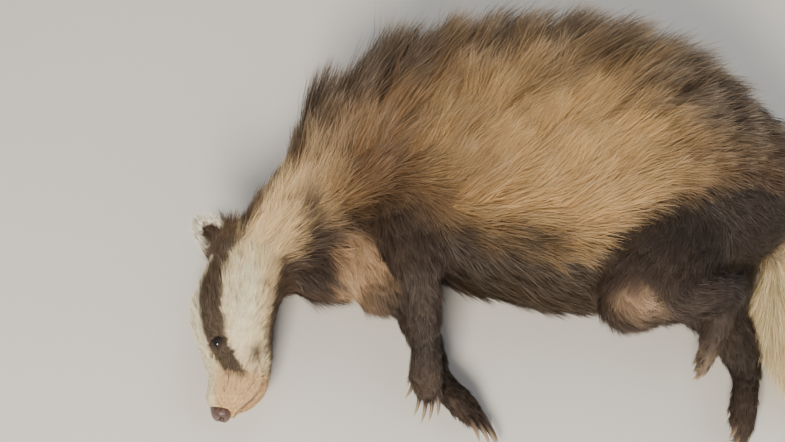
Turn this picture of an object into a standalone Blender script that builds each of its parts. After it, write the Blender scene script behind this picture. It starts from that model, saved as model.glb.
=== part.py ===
"""European badger, a life-size still model lying on its right side, head tucked towards the chest.

Run with: blender --background --python part.py

Metres, +Z up. The badger lies on the floor z = 0 with its left side up, its back towards +Y, its belly and
feet towards -Y, its head at the -X end and its tail at the +X end. Every solid is the outer form of the coat,
out to the dense tips of the hair; the flats at z = 0 are where the body rests.
"""
import math

import bmesh
import bpy
import numpy as np
from mathutils import Matrix, Vector

CM = 0.01
GAP = 0.0004          # clearance between neighbouring solids
FLOOR = 0.0           # everything rests on this level

# ---------------------------------------------------------------- driving sizes, centimetres
# The head is measured along a straight axis from the nose tip to the back of the skull.
NOSE_TIP = (-13.86, -14.95, 2.75)
HEAD_BACK = (-12.16, -0.14, 4.90)
HEAD_ROLL = 12.0      # degrees, turns the crown up towards the viewer
# distance behind the nose tip: height above the axis, depth below it, half width
HEAD_PROFILE = {
    0.15: (0.65, 0.70, 0.80),
    0.60: (1.20, 1.35, 1.35),
    1.20: (1.55, 2.10, 1.65),
    2.60: (1.80, 3.35, 2.05),
    4.00: (2.20, 3.45, 2.35),
    5.10: (2.80, 3.35, 2.70),
    6.20: (3.45, 3.20, 3.15),
    7.60: (4.05, 3.10, 3.75),
    9.10: (4.30, 3.20, 4.30),
    10.6: (4.30, 3.60, 4.65),
    12.1: (4.10, 4.10, 4.80),
    13.6: (3.70, 4.70, 4.85),
}
# neck and trunk stations: centre x, y, z, dorsal half depth, ventral half depth, half width (vertical as it lies)
BODY_STATIONS = {
    "nape":     (-10.9, 0.45, 5.35, 3.05, 5.30, 5.15),
    "neck":     (-8.4, 2.60, 6.20, 3.75, 5.80, 5.80),
    "neckroot": (-5.2, 4.60, 7.10, 6.15, 7.00, 6.80),
    "shoulder": (-1.2, 5.55, 7.80, 9.50, 8.80, 7.80),
    "withers":  (3.2, 5.70, 8.30, 12.0, 10.6, 8.60),
    "ribs":     (8.6, 5.50, 8.50, 13.5, 12.3, 8.90),
    "waist":    (14.4, 5.20, 8.50, 14.2, 13.3, 8.90),
    "loin":     (19.8, 4.60, 8.45, 13.9, 12.6, 8.90),
    "hips":     (24.8, 3.70, 8.30, 12.6, 10.9, 8.60),
    "croup":    (28.9, 2.70, 7.90, 10.0, 8.60, 7.80),
    "rump":     (31.9, 1.80, 7.50, 6.70, 5.90, 6.20),
    "tailhead": (33.7, 1.20, 7.20, 3.20, 2.90, 3.40),
}
BELLY_SAG = 0.19      # how much further the lower half of the belly spreads on the floor
TAIL_STATIONS = (   # centre x, y, z, half thickness across, half thickness up
    (31.2, 2.6, 7.3, 2.6, 2.7),
    (32.9, 0.4, 6.3, 3.1, 3.1),
    (33.1, -2.5, 5.0, 3.5, 3.4),
    (33.1, -5.6, 3.95, 3.7, 3.6),
    (33.9, -8.8, 3.35, 3.1, 3.2),
    (34.7, -11.4, 2.6, 2.2, 2.4),
    (35.5, -13.3, 1.7, 0.9, 1.0),
)
# the loose fur of the throat and breast, between cheek and shoulder: centre x, y, z, half thickness across, half thickness up
RUFF_STATIONS = (
    (-8.6, -1.4, 4.2, 3.4, 3.7),
    (-6.4, -1.4, 4.2, 3.6, 4.0),
    (-4.4, -1.3, 4.2, 3.5, 4.0),
)
# leg joints: centre x, y, z, half thickness across the leg (as seen from above), half thickness up
FORE_LEFT = {
    "upper_arm": ((0.6, 3.2, 8.6, 4.2, 4.2), (1.2, -1.2, 11.0, 3.6, 3.8), (2.0, -4.7, 11.0, 2.8, 2.9)),
    "forearm":   ((2.0, -5.0, 11.0, 2.2, 2.3), (2.5, -7.4, 8.9, 1.75, 1.9), (2.75, -9.8, 6.4, 1.4, 1.55)),
}
FORE_RIGHT = {
    "upper_arm": ((-0.6, 3.0, 5.2, 4.9, 4.4), (-1.5, -0.8, 4.4, 4.5, 4.1), (-0.6, -3.2, 3.8, 3.3, 3.4)),
    "forearm":   ((0.9, -3.6, 3.4, 2.3, 2.4), (2.6, -7.6, 2.7, 1.7, 1.9), (3.9, -11.6, 2.2, 1.35, 1.6)),
}
HIND_LEFT = {
    "thigh": ((25.4, 2.4, 8.2, 6.0, 5.0), (22.0, -3.2, 10.9, 5.3, 4.5), (18.9, -7.9, 11.0, 3.4, 3.3)),
    "shin":  ((19.3, -8.0, 11.0, 2.6, 2.5), (23.2, -7.9, 10.9, 2.2, 2.3), (27.0, -7.1, 10.5, 1.6, 1.7)),
}
HIND_RIGHT = {
    "thigh": ((26.5, 1.4, 5.4, 6.0, 5.0), (27.0, -2.4, 4.6, 4.6, 4.2), (27.2, -5.2, 3.8, 3.3, 3.4)),
    "shin":  ((27.6, -5.7, 3.6, 2.5, 2.8), (28.9, -8.4, 3.0, 2.0, 2.3), (29.7, -10.8, 2.4, 1.55, 1.75)),
}
# paw: wrist or hock, ends of the toes; half thickness, half width of the palm, toe radius, claw length, lean
PAWS = {
    "fore_left":  dict(start=(2.75, -9.8, 6.4), end=(2.75, -13.2, 3.2), thick=1.20, wide=1.72, toe=0.58, claw=2.2, lean=46.0, back=-1.0),
    "fore_right": dict(start=(3.9, -11.6, 2.2), end=(7.2, -15.0, 1.95), thick=1.15, wide=1.80, toe=0.58, claw=2.5, lean=-38.0, back=-1.0),
    "hind_left":  dict(start=(27.0, -7.1, 10.5), end=(25.6, -11.0, 4.2), thick=1.15, wide=1.65, toe=0.56, claw=1.4, lean=12.0, back=-1.0),
    "hind_right": dict(start=(29.7, -10.8, 2.4), end=(28.7, -16.4, 1.9), thick=1.10, wide=1.75, toe=0.55, claw=1.6, lean=-34.0, back=-1.0),
}
EYE_RADIUS = 0.50
EYE_BEHIND_NOSE = 5.50
EYE_ANGLE = 61.0      # degrees from the crown towards the side
EYE_SUNK = 0.33       # centre of the ball below the outer form
EAR_HEIGHT, EAR_WIDTH, EAR_THICK = 3.3, 3.1, 0.55
EAR_BEHIND_NOSE = 13.35
EAR_ANGLE = 52.0
RING_SIDES, LEG_SIDES = 24, 12


# ---------------------------------------------------------------- curves and frames
def monotone(x, y, at):
    """Smooth interpolation that never overshoots its stations (PCHIP), for one or more columns."""
    x, y, at = np.asarray(x, float), np.asarray(y, float), np.asarray(at, float)
    y = y.reshape(len(x), -1)
    h = np.diff(x)
    slope = np.diff(y, axis=0) / h[:, None]
    m = np.zeros_like(y)
    m[0], m[-1] = slope[0], slope[-1]
    for k in range(1, len(x) - 1):
        same = slope[k - 1] * slope[k] > 0
        w1, w2 = 2 * h[k] + h[k - 1], h[k] + 2 * h[k - 1]
        with np.errstate(divide="ignore", invalid="ignore"):
            m[k] = np.where(same, (w1 + w2) / (w1 / slope[k - 1] + w2 / slope[k]), 0)
    i = np.clip(np.searchsorted(x, at, side="right") - 1, 0, len(x) - 2)
    t = ((at - x[i]) / h[i])[:, None]
    a, b = y[i], y[i + 1]
    return ((1 + 2 * t) * (1 - t) ** 2 * a + t * (1 - t) ** 2 * h[i][:, None] * m[i]
            + t * t * (3 - 2 * t) * b + t * t * (t - 1) * h[i][:, None] * m[i + 1])


def curve_through(points, at):
    """Catmull-Rom curve through the points, by distance along their chords."""
    p = np.asarray(points, float)
    d = np.r_[0, np.cumsum(np.linalg.norm(np.diff(p, axis=0), axis=1))]
    m = np.gradient(p, d, axis=0)
    i = np.clip(np.searchsorted(d, at, side="right") - 1, 0, len(d) - 2)
    h = np.diff(d)[i][:, None]
    t = ((at - d[i]) / np.diff(d)[i])[:, None]
    return ((1 + 2 * t) * (1 - t) ** 2 * p[i] + t * (1 - t) ** 2 * h * m[i]
            + t * t * (3 - 2 * t) * p[i + 1] + t * t * (t - 1) * h * m[i + 1])


def unit(v):
    return v / max(np.linalg.norm(v), 1e-12)


def axes_at(backward, roll=0.0):
    """Forward, dorsal and left directions of a section, with left turned up as the animal lies."""
    forward = -unit(backward)
    left = np.array([0, 0, 1.0])
    left = unit(left - forward * (left @ forward))
    dorsal = np.cross(forward, left)
    c, s = math.cos(math.radians(roll)), math.sin(math.radians(roll))
    return forward, dorsal * c + left * s, left * c - dorsal * s


def section(centre, dorsal, left, up, down, wide, sides, power=2.3, sag=0.0):
    """A closed ring: a rounded oval with its own height above and depth below the axis."""
    ring = []
    for k in range(sides):
        a = 2 * math.pi * k / sides
        c, s = math.cos(a), math.sin(a)
        c, s = math.copysign(abs(c) ** (2 / power), c), math.copysign(abs(s) ** (2 / power), s)
        ring.append(centre + dorsal * c * (up if c > 0 else down * (1 + sag * max(0.0, -s))) + left * s * wide)
    return ring


# ---------------------------------------------------------------- the spine, from nose tip to tail head
def head_frame():
    nose, back = np.array(NOSE_TIP), np.array(HEAD_BACK)
    return nose, back, axes_at(back - nose, HEAD_ROLL)


def spine_stations():
    nose, back, _ = head_frame()
    along = unit(back - nose)
    rows = [(*(nose + along * s), *sizes, HEAD_ROLL, 0.0) for s, sizes in HEAD_PROFILE.items()]
    names = list(BODY_STATIONS)
    for k, name in enumerate(names):
        rows.append((*BODY_STATIONS[name], HEAD_ROLL * max(0.0, 1 - (k + 1) / 4), BELLY_SAG if k > 3 else 0.0))
    return np.array(rows)


def spine_rings(distances):
    """Rings of the spine form at distances along it, in cm from the first station."""
    rows = spine_stations()
    d = np.r_[0, np.cumsum(np.linalg.norm(np.diff(rows[:, :3], axis=0), axis=1))]
    centres = curve_through(rows[:, :3], distances)
    ahead = curve_through(rows[:, :3], np.clip(distances + 0.4, 0, d[-1]))
    behind = curve_through(rows[:, :3], np.clip(distances - 0.4, 0, d[-1]))
    sizes = monotone(d, rows[:, 3:], distances)
    rings = []
    for c, t, (up, down, wide, roll, sag) in zip(centres, ahead - behind, sizes):
        _, dorsal, left = axes_at(t, roll)
        rings.append(section(c, dorsal, left, up, down, wide, RING_SIDES, 2.3, sag))
    return rings


# ---------------------------------------------------------------- mesh building
def to_floor(p):
    return Vector((p[0] * CM, p[1] * CM, max(p[2] * CM, FLOOR)))


def material(name, colour, roughness):
    m = bpy.data.materials.new(name)
    m.use_nodes = True
    p = m.node_tree.nodes["Principled BSDF"]
    p.inputs["Base Color"].default_value = (*colour, 1)
    p.inputs["Roughness"].default_value = roughness
    p.inputs["Metallic"].default_value = 0.0
    return m


def add_object(name, bm, mat, where):
    bmesh.ops.remove_doubles(bm, verts=bm.verts, dist=0.00002)
    bmesh.ops.recalc_face_normals(bm, faces=bm.faces)
    mesh = bpy.data.meshes.new(name)
    bm.to_mesh(mesh)
    bm.free()
    mesh.shade_smooth()
    mesh.set_sharp_from_angle(angle=math.radians(50))
    obj = bpy.data.objects.new(name, mesh)
    mesh.materials.append(mat)
    where.objects.link(obj)
    return obj


def loft(name, rings, mat, where, floor=True):
    """A closed skin over a run of rings that all have the same number of points."""
    bm = bmesh.new()
    loops = []
    for ring in rings:
        put = to_floor if floor else (lambda p: Vector(p) * CM)
        loops.append([bm.verts.new(put(p)) for p in ring])
    n = len(rings[0])
    for a, b in zip(loops, loops[1:]):
        for k in range(n):
            bm.faces.new((a[k], a[(k + 1) % n], b[(k + 1) % n], b[k]))
    for loop in (loops[0], loops[-1]):
        middle = bm.verts.new(sum((v.co for v in loop), Vector()) / n)
        for k in range(n):
            bm.faces.new((loop[k], loop[(k + 1) % n], middle))
    return add_object(name, bm, mat, where)


def tube_rings(stations, sides, steps, round_ends=(True, True)):
    """Rings along a bent tube of oval section; stations are x, y, z, half thickness across, half thickness up."""
    rows = np.array(stations, float)
    d = np.r_[0, np.cumsum(np.linalg.norm(np.diff(rows[:, :3], axis=0), axis=1))]
    at = np.linspace(0, d[-1], steps)
    centres = curve_through(rows[:, :3], at)
    tangents = np.gradient(centres, axis=0)
    sizes = monotone(d, rows[:, 3:], at)
    rings = []

    def ring(c, t, a, b):
        _, dorsal, left = axes_at(t)
        rings.append(section(c, dorsal, left, a, a, b, sides, 2.15))

    if round_ends[0]:
        for q in (72, 36):
            c, s = math.cos(math.radians(q)), math.sin(math.radians(q))
            ring(centres[0] - unit(tangents[0]) * s * min(sizes[0]) * 0.9, tangents[0], *(sizes[0] * c))
    for c, t, (a, b) in zip(centres, tangents, sizes):
        ring(c, t, a, b)
    if round_ends[1]:
        for q in (36, 72):
            c, s = math.cos(math.radians(q)), math.sin(math.radians(q))
            ring(centres[-1] + unit(tangents[-1]) * s * min(sizes[-1]) * 0.9, tangents[-1], *(sizes[-1] * c))
    return rings


def grown(obj, by, cutters):
    """A copy of a solid, a little larger, to cut its neighbour with."""
    copy = bpy.data.objects.new(obj.name + "_cut", obj.data.copy())
    cutters.objects.link(copy)
    copy.matrix_world = obj.matrix_world
    bm = bmesh.new()
    bm.from_mesh(copy.data)
    bm.normal_update()
    move = [v.normal.copy() for v in bm.verts]
    for v, n in zip(bm.verts, move):
        v.co += n * by
    bm.to_mesh(copy.data)
    bm.free()
    copy.hide_render = True
    copy.display_type = "WIRE"
    return copy


def boolean(obj, other, operation):
    modifier = obj.modifiers.new(operation.lower(), "BOOLEAN")
    modifier.operation = operation
    modifier.solver = "EXACT"
    modifier.object = other


def apply_modifiers(obj):
    bpy.context.view_layer.update()
    made = bpy.data.meshes.new_from_object(obj.evaluated_get(bpy.context.evaluated_depsgraph_get()))
    obj.modifiers.clear()
    old, obj.data = obj.data, made
    bpy.data.meshes.remove(old)


def keep_largest(obj):
    """Drops the slivers that a cut can leave, so that the piece stays one body."""
    bm = bmesh.new()
    bm.from_mesh(obj.data)
    seen, groups = set(), []
    for v in bm.verts:
        if v.index in seen:
            continue
        stack, group = [v], []
        seen.add(v.index)
        while stack:
            w = stack.pop()
            group.append(w)
            for e in w.link_edges:
                o = e.other_vert(w)
                if o.index not in seen:
                    seen.add(o.index)
                    stack.append(o)
        groups.append(group)
    groups.sort(key=len)
    for group in groups[:-1]:
        bmesh.ops.delete(bm, geom=group, context="VERTS")
    bm.to_mesh(obj.data)
    bm.free()


def cut(obj, *neighbours, cutters, by=GAP):
    """Cuts a solid back from its neighbours, leaving the gap between them."""
    for other in neighbours:
        boolean(obj, grown(other, by, cutters), "DIFFERENCE")
        apply_modifiers(obj)
    keep_largest(obj)


# ---------------------------------------------------------------- paws and claws
def paw_axes(spec):
    """Along the paw, across its width and out of its back, with the lean of the paw about its own length."""
    start, end = np.array(spec["start"]), np.array(spec["end"])
    along = unit(end - start)
    wide = np.array([0, 0, 1.0])
    wide = unit(wide - along * (wide @ along))
    back = np.cross(along, wide) * spec["back"]
    a = math.radians(spec["lean"])
    wide, back = wide * math.cos(a) + back * math.sin(a), back * math.cos(a) - wide * math.sin(a)
    return start, end, along, wide, back


def toe_line(spec, k):
    """Root and tip of toe k of 5, fanned a little, the middle ones longest."""
    start, end, along, wide, back = paw_axes(spec)
    length = np.linalg.norm(end - start)
    side = (k - 2) / 2
    root = start + along * length * 0.62 + wide * side * (spec["wide"] - spec["toe"]) * 0.86
    tip = (start + along * length * (1.0 - 0.13 * abs(side) ** 1.6 - (0.07 if k == 0 else 0))
           + wide * side * (spec["wide"] - spec["toe"]) * 1.12 - back * 0.12)
    return root, tip


def paw(name, spec, mat, where):
    start, end, along, wide, back = paw_axes(spec)
    length = np.linalg.norm(end - start)
    pieces = []
    rings = []
    for share, thick, broad in ((-0.16, 0.45, 0.40), (-0.10, 0.80, 0.62), (0.02, 1.05, 0.76), (0.22, 1.08, 0.84), (0.45, 1.08, 0.98),
                                (0.62, 1.0, 1.0), (0.76, 0.86, 0.98), (0.84, 0.60, 0.86), (0.88, 0.30, 0.6)):
        rings.append(section(start + along * length * share, back, wide, spec["thick"] * thick,
                             spec["thick"] * thick, spec["wide"] * broad, 16, 2.3))
    pieces.append(loft(name, rings, mat, where))
    for k in range(5):
        root, tip = toe_line(spec, k)
        r = spec["toe"]
        pieces.append(loft(f"{name}_toe", tube_rings(
            ((*root, r, r), (*((root + tip) / 2 + back * 0.12), r * 1.04, r * 1.04), (*tip, r * 0.9, r * 0.9)), 10, 6), mat, where))
    whole = pieces[0]
    bm = bmesh.new()
    for piece in pieces:
        bm.from_mesh(piece.data)
    bm.to_mesh(whole.data)
    bm.free()
    for piece in pieces[1:]:
        bpy.data.objects.remove(piece)
    remesh = whole.modifiers.new("one skin", "REMESH")
    remesh.mode = "VOXEL"
    remesh.voxel_size = 0.0019
    smooth = whole.modifiers.new("soft", "SMOOTH")
    smooth.factor, smooth.iterations = 0.5, 2
    fewer = whole.modifiers.new("fewer", "DECIMATE")
    fewer.ratio = 0.052
    apply_modifiers(whole)
    for v in whole.data.vertices:
        v.co.z = max(v.co.z, FLOOR)
    return whole


def claw(name, spec, k, mat, where):
    """A digging claw: a tapering horn, oval in section, arched over its length."""
    _, _, along, wide, back = paw_axes(spec)
    root, tip = toe_line(spec, k)
    run = unit(tip - root)
    length = spec["claw"] * (1 - 0.10 * abs(k - 2) - (0.1 if k == 0 else 0))
    start = tip + back * 0.14 + run * (spec["toe"] * 0.35)
    rings = []
    for j in range(5):
        t = j / 4
        arch = 0.16 * length * (t * (1.5 - t) - 0.5 * t)
        c = start + run * length * t + back * (arch - 0.20 * length * t * t)
        taper = (1 - t) ** 0.62 * 0.94 + 0.06
        tangent = run * 1.0 + back * (0.16 * (1 - 2 * t) - 0.40 * t)
        forward = unit(tangent)
        w = unit(wide - forward * (wide @ forward))
        up = np.cross(w, forward)
        rings.append(section(c, up, w, 0.30 * taper, 0.30 * taper, 0.22 * taper, 6, 2.0))
    return loft(name, rings, mat, where)


# ---------------------------------------------------------------- ears, eyes, nose
def on_head(behind, angle, out=0.0):
    """A point of the head's outer form, and its outward direction. angle is from the crown towards the left."""
    nose, _, (forward, dorsal, left) = head_frame()
    s = np.array(list(HEAD_PROFILE))
    up, down, wide = monotone(s, np.array(list(HEAD_PROFILE.values())), [behind])[0]
    a = math.radians(angle)
    c, q = math.cos(a), math.sin(a)
    high = up if c > 0 else down
    power = 2.3
    cc, qq = math.copysign(abs(c) ** (2 / power), c), math.copysign(abs(q) ** (2 / power), q)
    outward = unit(dorsal * cc / high + left * qq / wide)
    return nose - forward * behind + dorsal * cc * high + left * qq * wide + outward * out, outward


def ear(name, side, mat, where):
    """A low rounded ear, a curved leaf thickened by its short fur."""
    nose, _, (forward, dorsal, left) = head_frame()
    base, outward = on_head(EAR_BEHIND_NOSE, EAR_ANGLE * side, -0.9)
    if side > 0:
        up = unit(outward * 0.80 - forward * 0.50 + dorsal * 0.45)
        facing = unit(left * 0.70 + forward * 0.62 - dorsal * 0.30)
    else:
        up = unit(dorsal * 0.50 - forward * 0.95 + np.array([0, 0, 0.05]))
        facing = unit(-left * 0.60 + forward * 0.45 + dorsal * 0.35)
    facing = unit(facing - up * (facing @ up))
    across = np.cross(up, facing)
    bm = bmesh.new()
    bmesh.ops.create_grid(bm, x_segments=4, y_segments=5, size=1)
    for v in bm.verts:
        u, t = v.co.x, (v.co.y + 1) / 2
        half = EAR_WIDTH / 2 * math.sqrt(max(0.0, 1 - (max(0, t - 0.52) / 0.49) ** 2)) * (0.80 + 0.20 * min(1, t / 0.35))
        half = max(half, 0.28 * EAR_WIDTH / 2)
        p = (base + up * (EAR_HEIGHT + 0.9) * t * (1 - 0.10 * u * u) + across * u * half
             + facing * (0.38 * half * u * u - 0.25 * math.sin(math.pi * t)))
        v.co = Vector(p) * CM
    obj = add_object(name, bm, mat, where)
    shell = obj.modifiers.new("thickness", "SOLIDIFY")
    shell.thickness, shell.offset = EAR_THICK * CM, 0
    rounded = obj.modifiers.new("round", "SUBSURF")
    rounded.levels = rounded.render_levels = 1
    apply_modifiers(obj)
    for v in obj.data.vertices:
        v.co.z = max(v.co.z, FLOOR + 0.0002)
    return obj


def eye(name, side, mat, where):
    centre, outward = on_head(EYE_BEHIND_NOSE, EYE_ANGLE * side, -EYE_SUNK)
    bm = bmesh.new()
    bmesh.ops.create_uvsphere(bm, u_segments=10, v_segments=7, radius=EYE_RADIUS * CM,
                              matrix=Matrix.Translation(Vector(centre) * CM))
    return add_object(name, bm, mat, where)


def nose_pad(name, mat, where):
    """The bare nose leather, a broad rounded block with a groove down its middle."""
    nose, _, (forward, dorsal, left) = head_frame()
    rings = []
    for behind, up, down, wide in ((-0.34, 0.30, 0.30, 0.45), (-0.24, 0.70, 0.75, 0.95), (0.0, 0.95, 1.05, 1.25),
                                   (0.35, 1.12, 1.18, 1.36), (0.75, 1.22, 1.10, 1.34), (1.1, 1.2, 0.85, 1.15), (1.4, 1.0, 0.5, 0.8)):
        ring = section(nose - forward * behind + dorsal * 0.05, dorsal, left, up, down, wide, 14, 2.6)
        rings.append([p + forward * -0.10 * math.exp(-((k % 14) ** 2)) for k, p in enumerate(ring)])
    return loft(name, rings, mat, where)


def jaw_cutter(grow, cutters):
    """The space below the mouth line, from the chin back to the corner of the mouth."""
    nose, _, (forward, dorsal, left) = head_frame()
    corners = []
    for behind, low in ((0.55, -1.02), (5.2, -1.72)):
        for side in (-4, 4):
            extra = grow if behind < 1 else -grow
            corners.append(nose - forward * (behind - (3 * grow if behind < 1 else -grow)) + dorsal * (low + grow) + left * side)
            corners.append(nose - forward * (behind - (3 * grow if behind < 1 else -grow) + (0.25 if behind > 1 else 0.0))
                           + dorsal * -6.0 + left * side)
    bm = bmesh.new()
    for p in corners:
        bm.verts.new(Vector(p) * CM)
    bmesh.ops.convex_hull(bm, input=bm.verts)
    mesh = bpy.data.meshes.new("mouth_cut")
    bmesh.ops.recalc_face_normals(bm, faces=bm.faces)
    bm.to_mesh(mesh)
    bm.free()
    obj = bpy.data.objects.new("mouth_cut", mesh)
    cutters.objects.link(obj)
    obj.hide_render = True
    obj.display_type = "WIRE"
    return obj


# ---------------------------------------------------------------- the whole animal
def main():
    for obj in list(bpy.data.objects):
        bpy.data.objects.remove(obj)
    badger = bpy.data.collections.new("european_badger")
    cutters = bpy.data.collections.new("cutters")
    cutters.hide_render = True
    for c in (badger, cutters):
        bpy.context.scene.collection.children.link(c)

    cream = material("head_fur", (0.72, 0.64, 0.48), 0.8)
    neck_fur = material("neck_fur", (0.55, 0.45, 0.31), 0.85)
    coat = material("body_fur", (0.36, 0.29, 0.20), 0.9)
    dark = material("leg_fur", (0.045, 0.034, 0.028), 0.85)
    pale = material("tail_fur", (0.66, 0.57, 0.40), 0.85)
    horn = material("claw_horn", (0.42, 0.27, 0.19), 0.45)
    leather = material("nose_leather", (0.24, 0.13, 0.11), 0.4)
    wet = material("eye_dark", (0.012, 0.009, 0.008), 0.08)
    ear_fur = material("ear_fur", (0.70, 0.64, 0.52), 0.8)

    # spine form, parted behind the skull and in front of the shoulder
    rows = spine_stations()
    d = np.r_[0, np.cumsum(np.linalg.norm(np.diff(rows[:, :3], axis=0), axis=1))]
    names = ["head"] * len(HEAD_PROFILE) + list(BODY_STATIONS)
    head_end = d[names.index("nape") - 1] * 0.35 + d[names.index("nape")] * 0.65
    neck_end = d[names.index("neckroot")]
    gap = GAP / CM
    head = loft("head", spine_rings(np.r_[np.array([0, 0.3, 0.7, 1.2, 1.9, 2.7, 3.5, 4.3, 5.1, 6.0, 7.0, 8.2, 9.6, 11.0, 12.4, 13.6]) + d[0], head_end]), cream, badger)
    neck = loft("neck", spine_rings(np.linspace(head_end + gap, neck_end, 8)), neck_fur, badger)
    trunk = loft("trunk", spine_rings(np.r_[np.linspace(neck_end + gap, d[-2], 20), np.linspace(d[-2], d[-1], 4)[1:]]), coat, badger)

    ruff = loft("ruff", tube_rings(RUFF_STATIONS, 20, 5), neck_fur, cutters)
    ruff.hide_render = True
    ruff.display_type = "WIRE"
    cut(ruff, head, trunk, cutters=cutters)
    boolean(neck, ruff, "UNION")
    apply_modifiers(neck)
    keep_largest(neck)

    tail = loft("tail", tube_rings(TAIL_STATIONS, 16, 10), pale, badger)
    cut(tail, trunk, cutters=cutters)

    legs = {}
    for leg, parts in (("fore_left", FORE_LEFT), ("fore_right", FORE_RIGHT), ("hind_left", HIND_LEFT), ("hind_right", HIND_RIGHT)):
        for part, stations in parts.items():
            legs[leg, part] = loft(f"{part}_{leg.split('_')[1]}", tube_rings(stations, LEG_SIDES, 6), dark, badger)
        legs[leg, "paw"] = paw(f"{leg.split('_')[0]}paw_{leg.split('_')[1]}", PAWS[leg], dark, badger)
    for leg, parts in (("fore_left", FORE_LEFT), ("fore_right", FORE_RIGHT), ("hind_left", HIND_LEFT), ("hind_right", HIND_RIGHT)):
        upper, lower = (legs[leg, p] for p in parts)
        foot = legs[leg, "paw"]
        cut(foot, lower, cutters=cutters)
        cut(lower, upper, trunk, cutters=cutters)
        cut(upper, trunk, *((neck,) if leg.startswith("fore") else ()), cutters=cutters, by=0.0008)

    # the left paw rests on the right wrist
    for part in ("forearm", "paw"):
        cut(legs["fore_right", part], legs["fore_left", "paw"], legs["fore_left", "forearm"], cutters=cutters)

    claws = []
    for leg, spec in PAWS.items():
        for k in range(5):
            piece = claw(f"claw_{leg}_{k + 1}", spec, k, horn, badger)
            cut(piece, legs[leg, "paw"], cutters=cutters)
            if leg == "fore_left":
                cut(piece, legs["fore_right", "forearm"], legs["fore_right", "paw"], cutters=cutters)
            claws.append(piece)

    nose = nose_pad("nose", leather, badger)
    eyes = [eye("eye_left", 1, wet, badger), eye("eye_right", -1, wet, badger)]
    ears = [ear("ear_left", 1, ear_fur, badger), ear("ear_right", -1, ear_fur, badger)]

    jaw = bpy.data.objects.new("lower_jaw", head.data.copy())
    badger.objects.link(jaw)
    boolean(jaw, jaw_cutter(0.0, cutters), "INTERSECT")
    apply_modifiers(jaw)
    boolean(head, jaw_cutter(gap, cutters), "DIFFERENCE")
    apply_modifiers(head)
    keep_largest(head)
    keep_largest(jaw)
    cut(head, nose, *eyes, cutters=cutters)
    cut(jaw, nose, cutters=cutters)
    for piece in ears:
        cut(piece, head, neck, cutters=cutters)
    for leg in ("hind_left", "hind_right"):
        for part in ("thigh", "shin", "paw"):
            cut(legs[leg, part], tail, cutters=cutters)

    # the origin goes under the middle of the whole animal's box, on the floor
    bpy.context.view_layer.update()
    corners = np.array([v.co for o in badger.objects for v in o.data.vertices])
    shift = (corners.min(0) + corners.max(0)) / 2
    for obj in badger.objects:
        obj.data.transform(Matrix.Translation((-shift[0], -shift[1], 0)))
    print("origin moved by", -shift[0], -shift[1], "box", corners.max(0) - corners.min(0))
    print("triangles", sum(len(p.vertices) - 2 for o in badger.objects for p in o.data.polygons))
    for obj in badger.objects:
        print(obj.name, sum(len(p.vertices) - 2 for p in obj.data.polygons))


main()
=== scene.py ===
"""European badger, a life-size still model: one skin, a coat of mesh tufts, eyes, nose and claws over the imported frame."""
import math

import bmesh
import bpy
import numpy as np
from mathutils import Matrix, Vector
from mathutils.bvhtree import BVHTree
from mathutils.kdtree import KDTree


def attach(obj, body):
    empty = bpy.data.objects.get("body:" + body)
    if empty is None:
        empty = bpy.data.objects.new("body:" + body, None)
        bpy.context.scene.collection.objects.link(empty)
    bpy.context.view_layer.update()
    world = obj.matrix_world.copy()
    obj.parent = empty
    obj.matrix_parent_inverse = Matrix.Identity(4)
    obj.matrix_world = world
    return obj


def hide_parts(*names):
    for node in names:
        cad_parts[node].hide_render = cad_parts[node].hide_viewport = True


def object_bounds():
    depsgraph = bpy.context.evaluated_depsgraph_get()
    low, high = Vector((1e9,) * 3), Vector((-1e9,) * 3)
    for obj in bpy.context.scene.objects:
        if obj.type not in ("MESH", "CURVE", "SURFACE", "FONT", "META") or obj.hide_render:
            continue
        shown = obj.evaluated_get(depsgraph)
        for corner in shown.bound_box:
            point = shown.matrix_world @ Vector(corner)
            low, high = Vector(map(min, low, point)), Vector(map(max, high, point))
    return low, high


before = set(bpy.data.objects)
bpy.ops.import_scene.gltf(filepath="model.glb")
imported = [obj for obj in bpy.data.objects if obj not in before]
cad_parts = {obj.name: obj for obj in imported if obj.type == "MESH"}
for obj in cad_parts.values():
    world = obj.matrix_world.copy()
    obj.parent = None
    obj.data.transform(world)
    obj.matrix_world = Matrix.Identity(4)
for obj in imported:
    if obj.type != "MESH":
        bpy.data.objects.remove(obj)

CAD_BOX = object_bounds()
CM = 0.01
SHIFT = np.array([-9.86478627, -0.65514520, 0.0])     # from the modelling frame (cm) to the row frame
RNG = np.random.default_rng(20)

# ---------------------------------------------------------------- camera, floor and lights
ELEVATION, DISTANCE = 62.0, 1.15
aim = Vector((SHIFT[0], SHIFT[1], 9.0)) * CM
e = math.radians(ELEVATION)
camera = bpy.data.objects.new("camera", bpy.data.cameras.new("camera"))
bpy.context.scene.collection.objects.link(camera)
camera.data.lens, camera.data.sensor_width = 63.3, 36.0
camera.location = aim + Vector((0, -math.cos(e), math.sin(e))) * DISTANCE
camera.rotation_euler = (math.radians(90 - ELEVATION), 0, 0)
camera.data.clip_start, camera.data.clip_end = 0.01, 50
bpy.context.scene.camera = camera


def lamp(name, size, power, colour, where, towards):
    data = bpy.data.lights.new(name, "AREA")
    data.shape, data.size, data.energy, data.color = "SQUARE", size, power, colour
    obj = bpy.data.objects.new(name, data)
    bpy.context.scene.collection.objects.link(obj)
    obj.location = where
    obj.rotation_mode = "QUATERNION"
    obj.rotation_quaternion = (Vector(towards) - Vector(where)).to_track_quat("-Z", "Y")


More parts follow.
